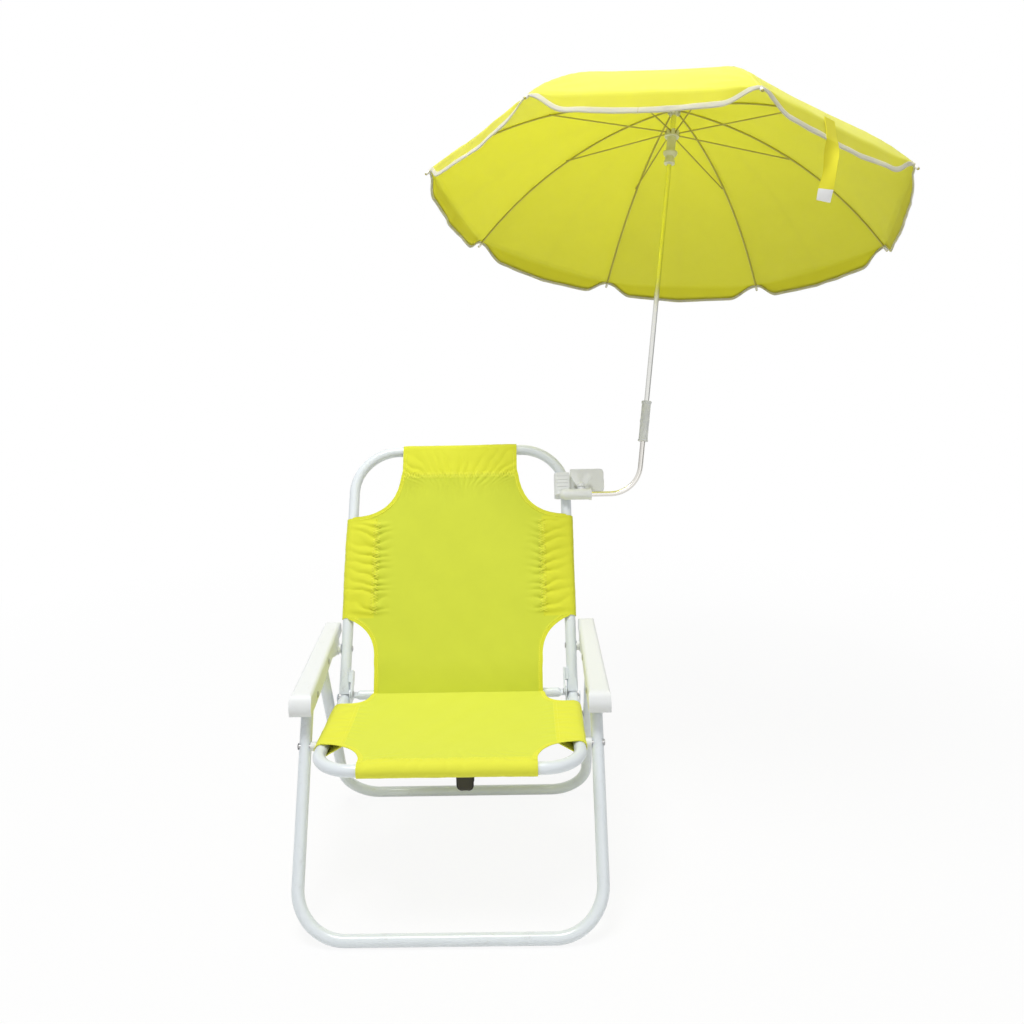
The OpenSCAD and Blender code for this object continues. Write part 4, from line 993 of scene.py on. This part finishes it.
def canopy_point(k, v, down, lift=0.0):
    """v across the panel from -1 to 1, down from 0 at the top to 1 at the rim and 2 at the
    valance's edge. Gives the point and its place on the flat cloth."""
    a = RIB_START + (RIB_END - RIB_START) * min(down, 1.0)
    r, h = rib_arc(a)
    off = CLOTH_OFF + lift
    r, h = r + off * math.sin(a), h + off * math.cos(a)
    walked = RIB_BOW * (a - RIB_START)
    span = abs(v)
    h -= GORE_SAG * min(down, 1.0) * (1 - (1 - span) ** 2)
    r = max(r, 5.0)
    if down > 1:
        part = down - 1
        depth = valance_depth(v)
        r += 0.25 * part * depth + lift * 0.7 * part
        h -= part * depth
        walked += part * depth
    c = span * r * math.sin(HALF_GORE) * math.cos(HALF_GORE)
    along, across = r - c * math.tan(HALF_GORE), math.copysign(c, v)
    spot = Vector((along, across, h))
    around = Matrix.Rotation(rib_angle(k), 3, "Z")
    spot = around @ spot
    edge = smooth((walked - 250) / 150)
    ripple = 1.3 * noise.noise(spot / 60) * (0.3 + edge) + 0.5 * noise.noise(spot / 22) * edge
    if down > 1:
        ripple += 2.4 * (down - 1) * noise.noise(spot / 27 + Vector((3, 1, 7)))
    tip = math.hypot(across, 396 - walked)
    fan = math.atan2(across, 400 - walked) * 9 + k
    ripple += 0.8 * math.exp(-((tip - 14) / 42) ** 2) * math.sin(fan) * min(abs(across) / 8, 1)
    near = math.exp(-(across / 13) ** 2)
    ripple += 0.35 * near * math.sin(walked / 2.3 + 2 * noise.noise(Vector((walked / 20, k, 0))))
    ripple = max(ripple, -0.2) if near > 0.3 else ripple
    turned = math.atan2(across, along)
    outwards = Vector((math.cos(turned), math.sin(turned), 0))
    normal = around @ (outwards * math.sin(a) + Vector((0, 0, math.cos(a))))
    if down > 1:
        flat = around @ outwards
        normal = (normal * (2 - down) + flat * (down - 1)).normalized()
    return SHAFT_FOOT + shaft_turn @ (MM * (spot + normal * ripple)), (MM * across, MM * walked)


# %% Canopy panels
# Columns crowd towards the rib, where the seam is.
def crowded(u):
    return math.copysign(abs(u) ** 1.35, u)


ROWS_TOP, ROWS_VALANCE, PANEL_COLUMNS = 46, 9, 40
CLOTH_THIN = 0.0006


def panel_rows(v):
    """-1..1 down the panel to 0..2, with a share of the rows for the valance."""
    row = (v + 1) / 2 * (ROWS_TOP + ROWS_VALANCE)
    return row / ROWS_TOP if row <= ROWS_TOP else 1 + (row - ROWS_TOP) / ROWS_VALANCE


closing = {}
# The third value, 1 on the valance, marks where the canopy finish paints the valance darker as
# painted shade.
for k in range(1, RIBS + 1):
    closing[k] = cloth_piece(
        f"canopy_cloth_{k}", PANEL_COLUMNS, ROWS_TOP + ROWS_VALANCE,
        lambda u, v: (*canopy_point(k, crowded(u), panel_rows(v)), smooth((panel_rows(v) - 1) * 4)),
        canopy_cloth, CLOTH_THIN, shaft_turn @ Vector((0, 0, 1)))

# %% [markdown]
# ### Binding of the edge
#
# A cream tape is folded over the cut edge of the valance. Its cross-section is a narrow U
# that goes from the outside, round the edge and up the inside.

# %% Binding tape
TAPE_REACH, TAPE_INSIDE, TAPE_OFF, TAPE_T = 7.0, 3.2, 0.75, 0.0005


def tape_point(k, v, s):
    """s runs from -1, inside the valance, over the cut edge at 0, to 1, outside."""
    depth = valance_depth(v)
    up = max(abs(s) - 0.2, 0) / 0.8 * (TAPE_REACH if s > 0 else TAPE_INSIDE)
    turn_over = min(abs(s) / 0.2, 1)
    down = 1 + max(depth - up, 0) / depth
    base, flat = canopy_point(k, v, down)
    a = rib_angle(k)
    outward = shaft_turn @ Vector((math.cos(a), math.sin(a), 0))
    below = shaft_turn @ Vector((0, 0, -1))
    side = math.copysign(math.sin(turn_over * math.pi / 2), s) if s else 0.0
    drop = math.cos(turn_over * math.pi / 2) if turn_over < 1 else 0.0
    return base + MM * (outward * TAPE_OFF * side + below * TAPE_OFF * drop), \
        (flat[0], flat[1] + MM * s * TAPE_REACH)


TAPE_COLUMNS, TAPE_ROWS = 56, 10
for k in range(1, RIBS + 1):
    tape, _ = cloth_piece(f"canopy_binding_{k}", TAPE_COLUMNS, TAPE_ROWS,
                          lambda u, v: tape_point(k, u, v), binding_tape, TAPE_T)
    panel, area = closing[k]
    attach(panel, f"rib_{k}")
    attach(tape, f"rib_{k}")
    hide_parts(f"canopy_panel_{k}")
    for piece in (panel, tape):
        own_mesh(piece)

# %% [markdown]
# ### Rib tips
#
# Each rib ends in a small pale cap that holds the corner of the cloth. It is a short
# cylinder whose far end is rounded by a bevel.

# %% Rib tips
TIP_R, TIP_LEN, TIP_ROUND, TIP_PAST = 2.3, 9.5, 1.7, 5.2
for k in range(1, RIBS + 1):
    bm = bmesh.new()
    made = bmesh.ops.create_cone(bm, cap_ends=True, segments=20, radius1=TIP_R * MM,
                                 radius2=TIP_R * MM, depth=TIP_LEN * MM)
    rims = [e for e in bm.edges if all(v.co.z > 0 for v in e.verts)]
    bmesh.ops.bevel(bm, geom=rims, offset=TIP_ROUND * MM, segments=4, affect="EDGES",
                    profile=0.5, material=-1)
    ahead = shaft_turn @ (Matrix.Rotation(rib_angle(k), 3, "Z")
                          @ Vector((math.cos(RIB_END), 0, -math.sin(RIB_END))))
    place = Matrix.Translation(rib_end(k) + ahead * MM * TIP_PAST) \
        @ ahead.to_track_quat("Z", "Y").to_matrix().to_4x4()
    bmesh.ops.transform(bm, matrix=place, verts=bm.verts)
    for face in bm.faces:
        face.smooth = True
    tip = add_mesh(f"rib_tip_{k}", bm, tip_white)
    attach(tip, f"rib_{k}")
print("rib tips:", RIBS)

# %% [markdown]
# ### Tie strap
#
# A ribbon is sewn to the rim between two ribs, to wrap round the closed umbrella. Open, it
# lies on the valance and hangs with a twist. Its end carries a white patch that grips.

# %% Tie strap
TIE_RIB, TIE_W, TIE_SIDE, TIE_DROP, TIE_BACK = 7, 18, 28, 75, 0.09
TIE_T, TIE_STEPS = 0.0011, 60
PATCH_FROM, PATCH_SHARE, PATCH_LEN, PATCH_WIDER, PATCH_T = 0.72, 0.285, 16, 1.02, 0.0022
tie_angle = RIB_TURN + (TIE_RIB - 0.5) * 2 * math.pi / RIBS
deep = VALANCE + SCALLOP
rim_r, rim_h = rib_arc(RIB_END)
rim_r = rim_r * math.cos(HALF_GORE) + 3.2
tie_line = [(rim_r, rim_h + 1), (rim_r + deep / 4, rim_h - deep),
            (rim_r + deep / 4 - TIE_BACK * TIE_DROP, rim_h - deep - TIE_DROP)]
tie_spots = by_length(tie_line, TIE_STEPS)
tie_length = sum(math.dist(a, b) for a, b in zip(tie_line, tie_line[1:]))


def tie_point(u, v, lift=0.0):
    """u across the ribbon, v from -1 at the rim to 1 at its end."""
    t = (v + 1) / 2
    r, h = [np.interp(t * TIE_STEPS, np.arange(TIE_STEPS + 1), tie_spots[:, i]) for i in (0, 1)]
    twist = 1.25 * math.sin(math.pi * smooth((t - 0.2) / 0.8) * 0.92)
    sway = 3.5 * math.sin(math.pi * smooth((t - 0.25) / 0.75))
    half = TIE_W / 2 * u
    across = TIE_SIDE - half * math.cos(twist) - sway
    r += half * math.sin(twist) + lift * math.cos(twist) + 0.8
    spot = Vector((r, -across, h))
    return SHAFT_FOOT + shaft_turn @ (MM * (Matrix.Rotation(tie_angle, 3, "Z") @ spot))


tie, _ = cloth_piece("tie_strap_ribbon", 10, TIE_STEPS, lambda u, v: (
    tie_point(u, v), (MM * TIE_W / 2 * u, MM * tie_length * (v + 1) / 2)), tie_cloth, TIE_T)
tie_patch, _ = cloth_piece("tie_strap_patch", 8, 10, lambda u, v: (
    tie_point(u * PATCH_WIDER, PATCH_FROM + (v + 1) / 2 * PATCH_SHARE),
    (MM * TIE_W / 2 * u, MM * PATCH_LEN * (v + 1) / 2)), white_patch, PATCH_T)
for piece in (tie, tie_patch):
    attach(piece, "rib_7")
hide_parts("tie_strap")
for piece in (tie, tie_patch):
    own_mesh(piece)

# %% [markdown]
# ## Last update
#
# At the end the view layer is updated once more.

# %% Update the view layer
bpy.context.view_layer.update()
